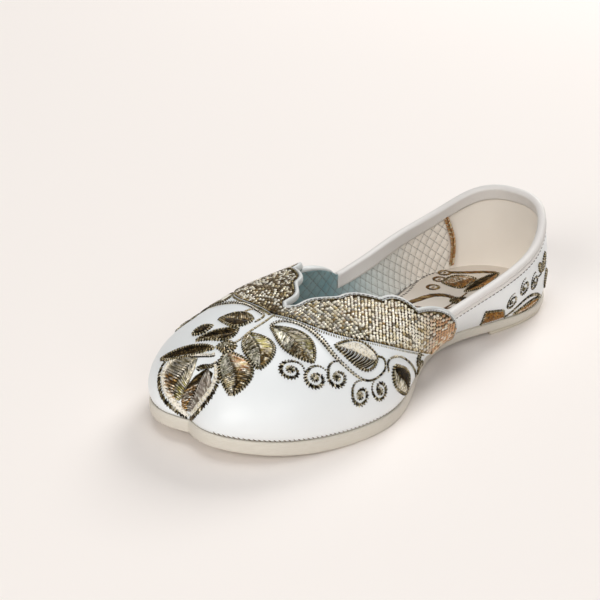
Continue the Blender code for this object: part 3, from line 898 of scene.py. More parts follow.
def binding_section():
    """Closed section of the binding as (rise above the wall's edge, distance out from the outer face):
    the outer leg with a crease where the strip is folded, a half-round over the edge, the inner leg, and
    the hidden faces back along the wall."""
    leg = np.linspace(0, 1, 15)
    rise = -BINDING_OUTSIDE + leg * (BINDING_OUTSIDE - 0.9)
    crease = 0.8 * np.exp(-((rise + BINDING_CREASE) / 0.4) ** 2)
    outer = np.stack([rise, 0.55 + 0.5 * np.sin(np.pi * leg / 2) ** 0.7 - crease], -1)
    roll = np.linspace(0, np.pi, 13)[1:-1]
    middle, half = -WALL / 2 - 0.1, 1.95
    top = np.stack([-0.9 + 1.4 * np.sin(roll), middle + half * np.cos(roll)], -1)
    leg = np.linspace(0, 1, 7)
    inner = np.stack([-0.9 - leg * (BINDING_INSIDE - 0.9), middle - half + 0.35 * leg], -1)
    back = np.array([[-BINDING_INSIDE, -WALL - 0.02], [-0.5, -WALL - 0.02], [-0.5, 0.02],
                     [-BINDING_OUTSIDE, 0.02]])
    return np.concatenate([outer, top, inner, back])


def binding_place(u, rise, out):
    """Points beside the collar's edge: rise mm above it and out mm off the outer face."""
    top = topline_v(u[:, 0])[:, None]
    return wall_point(u, top + rise * per_mm(u, top), out)


def build_binding():
    """White leather strip folded over the collar, with its two rows of stitches."""
    u = np.linspace(0, BINDING_END, 150)[:, None]
    rise, out = binding_section().T
    patch = sheet(on_centre(binding_place(u, rise, out), u == 0), wrap_columns=True)
    last = (len(u) - 1) * len(rise)
    patch[0][1].append(np.arange(last, last + len(rise))[None, :])
    make_piece("topline_binding_leather", pair(patch), collar_leather,
               ("topline_binding",), weld=True)
    u = np.linspace(0.002, BINDING_END - 0.004, 200)
    top = topline_v(u)

    def line(rise):
        return np.stack([u * FEATHER_LENGTH, 100 * (top + rise * per_mm(u, top))], -1)

    grey = ((linear("#4b4640"), linear("#726c64")), (3, 1))
    outer = row(wall, line(-BINDING_OUTSIDE - 0.55), length=2.3, width=0.7, pitch=2.6, slant=8,
                height=0.5, dye=grey, lift=0.1, wobble=2)
    outer += row(wall, line(-BINDING_CREASE), length=2.2, width=0.35, pitch=2.0, slant=0, height=0.15,
                 dye=grey, lift=0.1, wobble=0)
    make_piece("binding_stitches", pair(outer), grey_cotton)
    inner = row(wall, line(-BINDING_INSIDE + 1.5), length=1.4, width=0.45, pitch=2.6, slant=0,
                height=-0.3, dye=((GOLD, OLIVE), (1, 1)), lift=-WALL - 0.62, wobble=1)
    make_piece("binding_inner_stitches", pair(inner), brown_cotton)


# Lower border of the gold panel on the wing, from the centre line down and back to the sole, and the u
# where the wing ends there.
PANEL_BORDER = ((219.3, 100), (218.3, 97), (215.5, 87), (210.5, 73), (202, 61), (192, 52), (180, 41.2),
                (158, 24.7), (130, 9.0), (112, 4.0), (103, 2.2))
WING_END = 0.366

# Pitch of the stitches in the panel's columns, the share of its brightness that a tarnished one keeps,
# which on the -X side also sets the painted shade, and the two families of columns: the level direction
# across them and their spacing along it. They change over along the column of the first that goes
# through COLUMN_BREAK, 2 mm either way.
PANEL_PITCH, TARNISH_AND_PAINTED_SHADE = 1.5, 0.35
COLUMN_FAMILIES = ((np.array([0.25, 0.968]), 1.75), (np.array([0.747, 0.665]), 1.4))
COLUMN_BREAK = np.array([189.0, 80.0])


def panel_limits():
    """u, lower v and upper v of the gold panel, sampled along its border."""
    border_u, border_v = (curve(wall, PANEL_BORDER, 400) / (FEATHER_LENGTH, 100)).T[:, ::-1]
    u = np.unique(np.concatenate([np.maximum(border_u, WING_END), CUSP_U]))
    u = u[(u >= WING_END) & (u <= border_u.max())]
    low = np.minimum(np.interp(u, border_u, border_v), 1.0)
    return u, low, np.maximum(wing_v(u), low)


def wing_lift(u):
    """How far the wing stands off the wall: more where it covers the binding's end."""
    return 0.45 + 1.0 * smoothstep(0.56, 0.46, u)


def build_wing():
    """The wing: a second layer of leather whose hem sinks into the wall, and on it the gold panel's
    ground, a low dome that stops short of the rim. Returns the panel's limits."""
    u, low, high = panel_limits()
    share = np.concatenate([[-0.22, -0.14, -0.07], np.linspace(0, 1, 25)])
    v = low[:, None] + share[None, :] * (high - low)[:, None]
    sunk = smoothstep(-0.02, -0.2, share)[None, :]
    points = wall_point(u[:, None], v, mix(wing_lift(u)[:, None], -0.3, sunk))
    points = on_centre(points, v >= 1 - 1e-9)
    make_piece("wing_leather", pair(sheet(points)), white_leather, weld=True,
               wall=WING_THICKNESS)

    inner = np.linspace(0.0, 1.0, 40)
    margin = np.minimum(1.0, 1.25 * per_mm(u, np.minimum(high, 0.98)) / np.maximum(high - low, 1e-6))
    share = inner[None, :] * (1 - np.where(high < 1 - 1e-6, margin, 0))[:, None]
    v = low[:, None] + share * (high - low)[:, None]
    dome = 0.10 + 0.22 * np.sin(np.pi * inner) ** 0.4
    points = wall_point(u[:, None], v, wing_lift(u)[:, None] + dome[None, :])
    points = on_centre(points, v >= 1 - 1e-9)
    ground = sheet(points, np.broadcast_to(BRONZE, points.shape))
    make_piece("panel_ground", pair(ground), zari, weld=True, wall=GROUND_THICKNESS)
    return u, low, high


def rim_line():
    """Chart curve of the wing's edge from the throat's point back to the sole."""
    u = np.unique(np.concatenate([np.linspace(CUSP_U[0], CUSP_U[-1], 420), CUSP_U]))[::-1]
    return u, wing_v(u)


RIM_CORNERS = 16


def build_rim():
    """The folded white edge of the wing: a bead along the edge whose section is an oval between a circle
    and a square, cos and sin to the power 0.8. It is as thick as the wall where the edge is free and
    thinner where it lies on the quarter."""
    u, v = rim_line()
    v = np.maximum(v, 0.015)
    free = smoothstep(0.445, 0.475, u)
    points = wall_point(u, v, mix(1.15, -0.32, free))
    half_thick = mix(0.8, 1.55, free)[:, None, None]
    normal = wall_normal(u, v)
    away = unit(np.cross(normal, unit(np.gradient(points, axis=0))))
    angle = np.linspace(0, 2 * np.pi, RIM_CORNERS, endpoint=False)
    across, through = (np.sign(wave) * np.abs(wave) ** 0.8 for wave in (np.cos(angle), np.sin(angle)))
    tube = (points[:, None] + away[:, None] * across[:, None] * 0.95
            + normal[:, None] * through[:, None] * half_thick)
    tube[..., 0] = np.maximum(tube[..., 0], 0.0)
    patch = sheet(tube, wrap_columns=True)
    ends = np.arange(RIM_CORNERS)[::-1], np.arange(RIM_CORNERS) + (len(u) - 1) * RIM_CORNERS
    patch[0][1].append(np.array(ends))
    make_piece("wing_rim", pair(patch), rim_leather)


def panel_columns():
    """Chart lines of the panel's columns of stitches, each with its family. The columns lie in upright
    planes square to the family's direction."""
    rounds, rise = np.linspace(100, 226, 240), np.linspace(0, 100, 240)
    plan = wall_place(np.stack(np.meshgrid(rounds, rise, indexing='ij'), -1), 0.0)[..., :2]
    columns = []
    for k, (across, spacing) in enumerate(COLUMN_FAMILIES):
        reach = plan @ across
        for level in np.arange(reach.min(), reach.max(), spacing):
            hit = np.array([np.interp(-level, -reach[:, j], rounds, left=np.nan, right=np.nan)
                            for j in range(len(rise))])
            line = np.stack([hit, rise], -1)[::-1]
            line = line[np.isfinite(line[:, 0])]
            columns.append((line[past_break(line, k) > -4.5], k))
    return columns


def past_break(places, k):
    """Distance of chart places from the change-over of the columns, positive on family k's own side."""
    reach = (wall_place(places, 0.0) - wall_place(COLUMN_BREAK, 0.0))[:, :2] @ COLUMN_FAMILIES[0][0]
    return reach if k else -reach


def build_panel(u, low, high):
    """Gold panel of the wing: short couched stitches in columns, every other column half a stitch on.
    Some are tarnished towards the front. On the -X side many more at the front are darkened and warmed,
    and
    the rest of that side is dimmed: painted shade on the half that faces away from the light. A cord runs
    along the lower border with a fringe below it, and another under the rim, which has a seam of its own."""
    spots, ways, spaces = [], [], []
    for number, (line, k) in enumerate(panel_columns()):
        across, spacing = COLUMN_FAMILIES[k]
        bottom, top = (100 * np.interp(line[:, 0] / FEATHER_LENGTH, u, limit) for limit in (low, high))
        line = line[(line[:, 1] > bottom) & (line[:, 1] < np.minimum(top, 99.9))]
        if len(line) < 4:
            continue
        run = run_along(wall_place(line, 0.0))
        margin = 1.9 if np.interp(line[0, 0] / FEATHER_LENGTH, u, high) < 1 - 1e-6 else 0.0
        if run[-1] - margin - 0.8 < PANEL_PITCH:
            continue
        at, way, _ = walk(wall, line[run > margin], PANEL_PITCH, 0.3 + 0.5 * (number % 2))
        kept = past_break(at, k) > rng.normal(0, 1.5, len(at))
        at, way = at[kept], way[kept]
        normal = wall_normal(at[:, 0] / FEATHER_LENGTH, at[:, 1] / 100)
        spots.append(at)
        ways.append(way)
        spaces.append(spacing / np.sqrt(np.maximum(1 - (normal[:, :2] @ across) ** 2, 0.2)))
    at, way, space = np.concatenate(spots), np.concatenate(ways), np.concatenate(spaces)
    at = at + rng.normal(0, 1, at.shape) * (0.09, 0.16)
    way = turned(way, rng.normal(0, 9, len(at)))
    rear = smoothstep(156, 132, at[:, :1])
    tone = mix(dyes(len(at), *PANEL_DYE), dyes(len(at), *COPPER_DYE), rear)
    shade = rng.random((len(at), 1))
    near_front, painted_shade_front = smoothstep(185, 205, at[:, :1]), smoothstep(150, 180, at[:, :1])
    near = tone * np.where(shade < 0.05 + 0.25 * near_front, TARNISH_AND_PAINTED_SHADE, 1.0 - 0.16 * near_front)
    # Painted shade: on the -X side the stitches are darkened and warmed at the front and dimmed
    # elsewhere, for the half that faces away from the light.
    painted_shade_brown = 1 - painted_shade_front * (0.50, 0.60, 0.72)
    far = tone * np.where(shade < 0.05 + 0.42 * painted_shade_front, TARNISH_AND_PAINTED_SHADE * painted_shade_brown, 1.0 - 0.2 * painted_shade_front)
    sides = [stitches(wing, at, way, length=1.6, width=1.05 * space, height=0.6, dye=shaded,
                      lift=0.25) for shaded in (near, far)]
    make_piece("panel_stitches", sides[0] + mirrored(sides[1]), new_zari)

    border = curve(wall, PANEL_BORDER, 300)
    border[:, 1] = np.minimum(border[:, 1], 100)
    edges = cord(wing, border, width=1.3, pitch=1.1, slant=60, height=0.5, lift=0.15,
                 dye=((PALE, GOLD, OLD_GOLD, DARK), (2, 3, 2, 2)))
    edges += fringe(wall, border, length=1.6, aside=1.3, pitch=1.0, slant=70, height=0.55,
                    dye=((GOLD, OLIVE, BRONZE, DARK), (3, 4, 3, 1)), width=0.6)
    rim_u, rim_v = rim_line()
    one_mm = per_mm(rim_u, np.minimum(rim_v, 0.98))
    rim, seam = (np.stack([rim_u * FEATHER_LENGTH, 100 * (rim_v - inside * one_mm)], -1)[6:]
                 for inside in (2.0, 0.95))
    rim = rim[rim[:, 1] > 100 * np.interp(rim[:, 0] / FEATHER_LENGTH, u, low) + 0.3]
    edges += cord(wing, rim, width=0.8, pitch=0.85, slant=60, height=0.5, lift=0.2,
                  dye=((BRONZE, OLIVE, GOLD), (4, 2, 2)))
    make_piece("panel_cords", pair(edges), zari)
    grey = ((linear("#8c8984"), linear("#b4b1ab")), (1, 1))
    make_piece("rim_stitches", pair(row(wing, seam[:-8], length=1.5, width=0.3, pitch=1.9, slant=0,
                                        height=0.2, dye=grey, lift=0.62, wobble=1)),
               grey_cotton)


# ---- Embroidery on the wall, charted in (round, rise) ----
# Leaves: base, tip and widest place of each side, then the dyes of the two halves. Where there are four
# dyes, the halves change over to the last two towards the tip.
PAIRED_LEAVES = (
    ((183.5, 32.5), (171, 7), (172.5, 21), (184.5, 21), (DARK_SATIN, CREAM_SPECKLE)),      # waist leaf
    ((158, 24.5), (158.5, 17), (155.5, 21), (160.5, 21), (OLIVE_SATIN, OLIVE_SATIN)),
    ((157, 14), (141, 3.5), (150, 13.5), (149, 4.5), (LIT_SATIN, BROWN_SATIN)),
    ((63, 2.4), (40, 3.2), (52, 0.8), (51, 5.6), (WARM_SATIN, AMBER_SATIN)),      # heel leaf's heart
    ((40.5, 15.8), (35.5, 21.8), (39.5, 19.6), (36.8, 17.4), (LIT_SATIN, OLIVE_SATIN)),
    ((41, 16), (45.6, 20), (44.2, 17.2), (42.4, 18.9), (LIT_SATIN, OLIVE_SATIN)),
    ((29, 4.5), (33, 14), (26.5, 9.5), (34, 9), (OLIVE_SATIN, BROWN_SATIN)),
)
VAMP_LEAVES = (
    ((229.4, 89.4), (223.4, 52.5), (219, 71), (233, 68),
     (OLIVE_SATIN, GREY_SATIN, LIME_SATIN, BROWN_SATIN)),
    ((241.5, 92), (246.7, 58.3), (236.8, 72), (250.5, 80),
     (LIME_SATIN, OLIVE_SATIN, BROWN_SATIN, GREY_SATIN)),
    ((259.6, 82), (258, 42), (249.5, 60), (266, 66), (WARM_SATIN, GREY_SATIN, BROWN_SATIN, LIT_SATIN)),
    # The next four leaves lie on the -X side: their dark satin is painted shade of the side that faces
    # away from the light.
    ((269, 103), (249.7, 161), (257.6, 131), (265.6, 132), (DARK_SATIN, DARK_SATIN)),
    ((241, 105), (253.4, 131), (244, 111), (255.2, 102),
     (DARK_SATIN, DARK_SATIN, DARK_SATIN, BROWN_SATIN)),
    ((230.7, 104), (235, 123.5), (225.7, 116), (240.6, 108), (BROWN_SATIN, DARK_SATIN)),
    ((246.9, 135.5), (241.9, 124), (241.4, 132), (248, 127), (DARK_SATIN, DARK_SATIN)),
    ((266.4, 101), (254, 85), (256.4, 98.5), (262.5, 82), (OLIVE_SATIN, BROWN_SATIN)),      # bud
)
# The two leaves of the toe: base, tip and widest place of each side of the heart, then the lines of the
# ivory band round it and of the dark stitches outside the band. TOE_EDGE is the dark cord that closes the
# left leaf at its top, and TOE_ARCH the thick cord between the two.
TOE_LEFT = ((289.9, 65.6), (286.7, 21.1), (301.8, 43.5), (285.4, 43.1))
TOE_LEFT_BAND = ((271.8, 87.5), (291.1, 70), (298.7, 58.5), (302.5, 50.8), (303.4, 44), (302.3, 38.6),
                 (299.8, 34.5), (296.3, 29.8), (292.1, 24.5), (287.5, 17.5), (284.1, 11), (281.2, 3))
TOE_LEFT_FRINGE = ((301.5, 53.5), (304.6, 49), (306.2, 43), (304.6, 36), (299.8, 28.1), (294.2, 19.5),
                   (287.8, 11), (281.5, 2.5))
TOE_RIGHT = ((275.6, 59.5), (281.0, 11), (268.4, 51.5), (284.9, 36.5))
TOE_RIGHT_BAND = ((270.5, 70), (268.3, 62.9), (267.2, 55.3), (267.8, 46.1), (270.5, 35.8), (274.4, 24.4),
                  (279, 9.3))
TOE_RIGHT_FRINGE = ((267.5, 74), (265.6, 60), (265.2, 50.6), (266.8, 40.3), (270.2, 28.1), (274.7, 15.5),
                    (279.6, 2))
TOE_EDGE = ((272.2, 80.2), (283.8, 73), (290.9, 66.8), (298, 58.6), (302.1, 52.7))
TOE_ARCH = ((284.5, 53.5), (281, 57.5), (275.5, 61.5), (272, 64.5), (268.5, 69))
# The vine from the centre line to its leaf, and its mirror image on the -X side with a start of its own.
VINE = ((228.8, 90.3), (222.3, 90.4), (219.6, 87.8), (215.6, 78), (213.5, 63.5), (212, 52), (208.4, 43),
        (204, 35.6), (199, 31.7), (193, 31.9), (189.2, 34.8), (189.1, 39.8), (191.5, 42))
FAR_VINE = ((223, 103), (219.6, 112)) + tuple((a, 200 - b) for a, b in VINE[3:])
# Stem of the vamp's leaves, the loops beside it and at waist and heel, and the heel's block of satin.
STEM = ((218.8, 99), (230, 96), (241.4, 93.5), (253.8, 90), (260, 91))
FAR_LOOP = ((225.7, 115.5), (220.3, 114), (220.5, 107), (223.5, 102.5), (231, 101))
WAIST_LOOP = ((156, 8), (165, 19), (173.2, 29), (181.8, 36.3), (187.2, 36), (187.9, 30.7))
HEEL_LOOP = ((69, 2.0), (63.3, 5.7), (55.5, 8.6), (43.5, 6.4), (36.5, 2.4))
HEEL_STEM = ((45.5, 15), (42, 15.2), (39, 16.5))
HEEL_BLOCK = ((83.5, 2), (85.3, 11.9), (72.1, 8.1), (68.9, 2))
# Coils: centre, radius, the place the cord comes from and the number of turns.
COILS = (
    ((234, 52.7), 3.7, (228.4, 48.5), 1.2),
    ((224.6, 43.2), 3.7, (218.4, 45.0), 1.2),
    ((214.4, 39.7), 3.6, (209.3, 46.4), 1.2),
    ((204.7, 25.4), 3.5, (202.6, 33.1), 1.2),
    ((194.3, 23.2), 3.3, (196.6, 30.4), 1.2),
    ((67.2, 10.6), 2.9, (65.9, 14.6), 1.45),
    ((58.8, 14.4), 2.9, (57.8, 18.6), 1.45),
    ((49.4, 13.8), 2.9, (48.6, 18.0), 1.45),
)
# The vine's own leaf: base, tip and widest place of each side.
VINE_LEAF = ((192, 42), (209, 57.5), (201, 39), (197.5, 55))


def block(ground, corners, dye, stations=9):
    """A four-cornered block of satin: upright threads from its foot to its top, overcast all round.
    corners run from the foot up, along the top and down."""
    corners = np.array(corners, float)
    share = np.linspace(0.02, 0.98, 14)[:, None]
    foot, top = mix(corners[0], corners[3], share), mix(corners[1], corners[2], share)
    at = (foot + top) / 2
    thread = np.einsum("nij,nj->ni", ground.frame(at), top - foot)
    length = np.linalg.norm(thread, axis=-1)
    tones = dyes(len(at) * stations, *dye).reshape(len(at), stations, 3)
    patches = stitches(ground, at, unit(thread), length=length * 1.03, width=1.25, height=0.5,
                       dye=tones, lift=0.1, stations=stations)
    outline = np.concatenate([mix(a, b, np.linspace(0, 1, 30)[:, None])
                              for a, b in zip(corners, corners[1:])])
    return patches + overcast(ground, outline, length=0.9, away=-1, spikes=0.8)


def vine_leaf():
    """The leaf the vine carries, as (silk, zari) stitches: one half smooth ivory satin that keeps clear
    of its fringe, its brightness a painted highlight on pale satin, the other in curved ribs of pale and
    dark."""
    leaf = Leaf(wall, *VINE_LEAF)
    # Painted highlight: this half is ivory silk standing in for the shine on its satin.
    satin = leaf.satin(1, PAINTED_HIGHLIGHT_SATIN, lean=0.5, lead=0.15, pitch=0.6, width=0.8, rise=0.55, inset=1.0)
    patches = leaf.satin(0, ((DARK, BRONZE), (3, 2)), lean=0.5, lead=0.3, pitch=1.3, width=1.0,
                         rise=0.35, inset=0.1, bend=0.12)
    patches += leaf.satin(0, BRIGHT_DYE, lean=0.5, lead=0.34, pitch=1.3, width=0.5, rise=0.42,
                          bend=0.12)
    for k in (0, 1):
        patches += overcast(wall, leaf.outline(k), length=1.3, away=np.sign(leaf.widths[k]), spikes=0.9)
    return satin, patches


def toe_band(band, inner):
    """Band of ivory satin round the heart of a toe leaf."""
    return row(wall, curve(wall, band, 140), length=2.9, width=0.8, pitch=0.62, slant=72 * inner,
               height=0.4, dye=CREAM_SATIN, lift=0.1, taper=(0.5, 1.1, 1.2), wobble=3)


def toe_leaf(heart, fringe_line, inner, lean, dye):
    """A leaf of the toe, as (first half, the rest): a full heart whose threads slant to the tip, and two
    rows of dark stitches outside its band. inner is +1 where the heart lies left of them in the plane;
    dye is as satin_leaf's, with four."""
    leaf = Leaf(wall, *heart, power=0.5)
    first, second = (leaf.satin(k, dye[k], lean, lead=0.25, pitch=1.0, width=0.95, rise=0.35,
                                tip_dye=dye[2 + k])
                     for k in (0, 1))
    patches = leaf.padding() + second
    line = curve(wall, fringe_line, 140)
    for pitch, length in ((0.9, 1.9), (1.35, 2.7)):
        patches += row(wall, line, length, width=0.75, pitch=pitch, slant=-64 * inner, height=0.55,
                       dye=FRINGE_DYE, lift=0.05, taper=(0.5, 1.1, 1.0), wobble=11)
    return first, patches


def build_embroidery():
    """Leaves, stems, vine and coils on the vamp and quarters."""
    leaves = []
    for *spots, dye in PAIRED_LEAVES:
        leaves += pair(satin_leaf(wall, spots, dye, edge=0.9 if spots[0][0] < 165 else 1.2))
    painted_highlight_half, ribs = vine_leaf()
    leaves += pair(ribs)
    for *spots, dye in VAMP_LEAVES:
        leaves += satin_leaf(wall, spots, dye)
    left = toe_leaf(TOE_LEFT, TOE_LEFT_FRINGE, inner=-1, lean=0.4,
                    dye=(RIB_SATIN, RIB_SATIN, GLOW_SATIN, LIME_SATIN))
    right = toe_leaf(TOE_RIGHT, TOE_RIGHT_FRINGE, inner=1, lean=0.35,
                     dye=(FEATHER_SATIN, DARK_SATIN, FEATHER_SATIN, GLOW_SATIN))
    make_piece("leaves", leaves + left[0] + left[1] + right[1], zari)
    bands = toe_band(TOE_LEFT_BAND, -1) + toe_band(TOE_RIGHT_BAND, 1)
    # The vine leaf's silk half is ivory as a painted highlight; the toe's bands and the first half of its
    # right heart are ivory silk of their own.
    make_piece("silk_satin", pair(painted_highlight_half) + right[0] + bands, silk)

    cords = []
    for line in (VINE, FAR_VINE):
        vine = curve(wall, line, 240)
        cords += plait(wall, vine[:170], width=2.3, taper=(0.6, 1.25, 0.5))
        cords += cord(wall, vine[166:], width=1.2, pitch=1.3, slant=50, height=0.65,
                      dye=((PALE, OLIVE, DARK), (2, 2, 3)))
    cords += cord(wall, curve(wall, STEM), width=1.1, pitch=0.95, slant=40, height=0.65)
    cords += cord(wall, curve(wall, TOE_ARCH), width=2.8, pitch=1.2, slant=40, height=0.6,
                  dye=OLIVE_SATIN)
    cords += cord(wall, curve(wall, TOE_EDGE), width=0.8, pitch=1.0, slant=50, height=0.55,
                  dye=SHADE_DYE)
    cords += cord(wall, curve(wall, FAR_LOOP), width=1.0, pitch=0.85, slant=60, height=0.6)
    for line, width in ((WAIST_LOOP, 1.2), (HEEL_LOOP, 1.9), (HEEL_STEM, 0.8)):
        cords += pair(cord(wall, curve(wall, line), width, pitch=1.15, slant=50, height=0.6,
                           dye=COIL_DYE))
    cords += pair(block(wall, HEEL_BLOCK, AMBER_SATIN))
    for k, (centre, radius, origin, turns) in enumerate(COILS):
        spiral = coil(wall, centre, radius, origin, turns)
        cords += pair(spiral) if k else spiral
    make_piece("cords", cords, zari)


# ---- Inside the shoe ----
BRAID = ((38.6, 25.5), (36.2, 20), (34.9, 16.0), (35.0, 10.5), (36.6, 3.5))


def build_braid():
    """Gilt braid on the lining where the quilting ends."""
    line = curve(wall, BRAID, 80)
    dye = ((PALE, GOLD, linear("#c48f5a"), COPPER), (3, 3, 4, 3))
    braid = row(wall, line, length=1.9, width=3.2, pitch=1.3, slant=0, height=-0.4,
                dye=((COPPER, RUST), (1, 1)), lift=-WALL - 0.6, wobble=0)
    for aside, slant, phase in ((0.75, -45, 0.5), (-0.75, 45, 1.0)):
        braid += row(wall, line, length=2.1, width=0.8, pitch=1.0, slant=slant, height=-0.6, dye=dye,
                     lift=-WALL - 0.85, aside=aside, phase=phase)
    make_piece("braid", pair(turned_over(braid)), new_zari)


# Embroidery of the footbed, charted in (x, station from the back of the heel): leaves, then cords as
# width and line, then the middles of the rings at its sides with their half-width and half-length, and
# the seam round it.
BED_LEAVES = (
    ((-7, 29), (-16.5, 45), (-17, 33), (-5.5, 44), (WARM_SATIN, AMBER_SATIN)),
    ((7, 29), (16.5, 45), (17, 33), (5.5, 44), (WARM_SATIN, AMBER_SATIN)),
    ((-3.5, 15), (-1.5, 47), (-5.5, 30), (1.5, 32), (DARK_SATIN, AMBER_SATIN)),
    ((0, 61), (9, 52), (1.5, 54), (7, 60), (DARK_SATIN, BROWN_SATIN)),
)
BED_LINES = (
    (3.6, ((-21.5, 31), (-15, 24.5), (-10, 19), (-5, 15))),
    (4.6, ((-12.5, 76), (-11.5, 67), (-9.5, 60), (-5, 56.5), (3, 57))),
    (0.9, ((-8, 78), (-2, 75), (4, 70), (6, 63))),
    (0.9, ((0, 47), (1.5, 55), (3, 64), (4, 80))),
)
BED_RINGS, BED_RING = ((-23.5, 33.5), (-20.3, 42.0), (-16.3, 52.5)), (2.6, 3.0)
BED_SEAM = ((22, 30), (27.5, 40), (25.5, 55), (20.5, 70), (21.5, 90))


def build_footbed_embroidery():
    """Flat embroidery on the sock: leaves, stems and small rings."""
    thread = []
    for *spots, dye in BED_LEAVES:
        thread += satin_leaf(bed, spots, dye, rise=0.25, edge=0.9, spikes=0)
    stem_dye = ((OLD_GOLD, RUST, BRONZE), (3, 3, 3))
    for width, line in BED_LINES:
        thread += cord(bed, curve(bed, line), width, pitch=0.9, slant=45, height=0.4, dye=stem_dye)
    ring_dye = ((OLD_GOLD, RUST, BRONZE, GOLD), (3, 3, 3, 2))
    angle = np.linspace(0, 2 * np.pi, 60)
    for x, t in BED_RINGS:
        for side in (1, -1):
            ring = np.array([side * x, t]) + circle(angle) * BED_RING
            thread += cord(bed, ring, width=1.9, pitch=0.9, slant=50, height=0.4, dye=ring_dye)
            thread += stitches(bed, np.array([[side * x, t]]), np.array([[0.0, 1.0]]), length=2.6,
                               width=1.6, height=0.3, dye=OLD_GOLD[None])
    make_piece("footbed_embroidery", thread, zari)
    seam = curve(bed, BED_SEAM)
    grey = ((linear("#5f5a54"), linear("#8b857d")), (2, 1))
    marks = []
    for side in (1, -1):
        marks += row(bed, seam * (side, 1), length=1.5, width=0.6, pitch=2.2, slant=60, height=0.3,
                     dye=grey, lift=0.05, wobble=3)
    make_piece("footbed_stitches", marks, grey_cotton)


# ---- Footbed, sole and heel lift ----
def slab(offset, section, rings=10):
    """A sole-shaped slab whose rim lies offset mm out from the feather line, as grids of x, station and
    share of the slab's height. section lists (inset from the rim, share of the height) up the rim, and
    the low and high faces run on from its ends to the centre line in rings."""
    even = np.linspace(0, 1, 241)
    u = mix(even, 0.5 - 0.5 * np.cos(np.pi * even), 0.35)
    x0, t0 = feather(u)
    across, forward = feather_normal(u)
    apex = spline(U_KNOTS, APEX, u)
    inset, height = np.pad(np.array(section).T, ((0, 0), (rings, rings)), mode="edge")
    reach = np.linspace(1, 0, rings + 1)[:-1]
    inward = np.concatenate([reach, np.zeros(len(section)), reach[::-1]])
    x = np.maximum(x0[:, None] + across[:, None] * (offset - inset), 0) * (1 - inward)
    t = mix(t0[:, None] + forward[:, None] * (offset - inset), apex[:, None], inward)
    x[[0, -1]] = x[:, [0, -1]] = 0.0
    return x, t, np.broadcast_to(height, x.shape)


def build_outsole():
    """Outsole with a softly domed edge: a quarter round below, up to 0.16 of its height, a bulge of
    0.15 mm and a quarter round above, from 0.82."""
    angle = np.linspace(0, np.pi / 2, 5)
    section = [(0.9 * (1 - np.sin(a)), 0.16 * (1 - np.cos(a))) for a in angle]
    section += [(-0.15 * np.sin(np.pi * s), mix(0.16, 0.82, s)) for s in (0.25, 0.5, 0.75)]
    section += [(0.7 * (1 - np.cos(a)), 0.82 + 0.18 * np.sin(a)) for a in angle]
    x, t, height = slab(SOLE_MARGIN, section)
    points = at_station(x, t, mix(underside(t), tread_top(t), height))
    make_piece("outsole_layer", pair(sheet(points)), outsole_leather, ("outsole",),
               weld=True)


SOCK_TURN = 0.7            # how far the sock leather stands out past the board's rim


def build_footbed():
    """Insole board covered with beige sock leather, turned down at its rim."""
    angle = np.linspace(0, np.pi / 2, 4)
    section = [(0.3, 0.0), (0.0, 0.15)] + [(0.6 * (1 - np.cos(a)), 0.6 + 0.4 * np.sin(a)) for a in angle]
    x, t, height = slab(SOCK_TURN - INSOLE_INSET, section)
    points = at_station(x, t, tread_top(t) + SEAT_GAP + INSOLE_THICKNESS * height)
    make_piece("footbed", pair(sheet(points)), sock_leather, ("insole",), weld=True)


def build_heel_lift():
    """Heel lift: the heel's outline cut off by a bowed front edge, with its edges broken by 0.4 mm. Each
    level repeats the outline, drawn in towards the lift's middle by a share of its size."""
    reach = SOLE_MARGIN - LIFT_INSET
    top = HEEL_RISE - SEAT_GAP
    middle = LIFT_FRONT / 2
    u = np.linspace(0, np.interp(LIFT_FRONT, ALONG, U_KNOTS), 90)
    x0, t0 = feather(u)
    across, forward = feather_normal(u)
    x, t = x0 + across * reach, t0 + forward * reach
    x[0] = 0.0
    span = np.linspace(1, 0, 25)[1:]
    x = np.concatenate([x, x[-1] * span])
    t = np.concatenate([t, t[-1] - LIFT_CURVE * (1 - span ** 2)])
    size = np.array([0, 1 - 0.4 / middle, 1, 1, 1 - 0.4 / middle, 0])
    height = np.array([0, 0, 0.4, top - 0.3, top, top])
    points = at_station(x[:, None] * size, middle + (t[:, None] - middle) * size,
                        np.broadcast_to(height, (len(x), 6)))
    make_piece("heel_lift_layer", pair(sheet(points)), lift_leather, ("heel_lift",),
               weld=True)


WELT_ROUNDS, WELT_RISE = (0.47 * FEATHER_LENGTH, 0.94 * FEATHER_LENGTH), 2.6


def build_welt_stitches():
    """Lock stitches along the forepart that hold the upper to the sole, a little up from its foot."""
    rounds = np.linspace(*WELT_ROUNDS, 300)
    line = np.stack([rounds, np.full(300, WELT_RISE)], -1)
    tan = ((OLD_GOLD, OLIVE, BRONZE), (2, 2, 1))
    thread = row(wall, line, length=1.7, width=0.4, pitch=2.0, slant=36, height=0.25, dye=tan)
    make_piece("welt_stitches", pair(thread), brown_cotton)


# ---- Camera, light and floor ----
AZIMUTH, ELEVATION, ROLL = np.radians([41.65, 23.33, 0.83])
TARGET, DISTANCE = np.array([-34.68, -10.1, 20.0]), 662.4
SENSOR, FOCAL_SHARE = 36.0, 2.415      # the focal length as a share of the sensor's width

# Soft boxes aimed at the shoe: name, place and edge in metres, watts.
SOFT_BOXES = (
    ("front", (0.35, -2.4, 1.3), 1.2, 32),
    ("side", (2.3, -1.0, 1.3), 1.2, 14),
    ("back", (-0.6, 2.3, 1.65), 1.2, 48),
    ("top", (-0.3, -0.2, 2.8), 1.4, 14),
)
AIM = Vector((0, 0, 0.02))


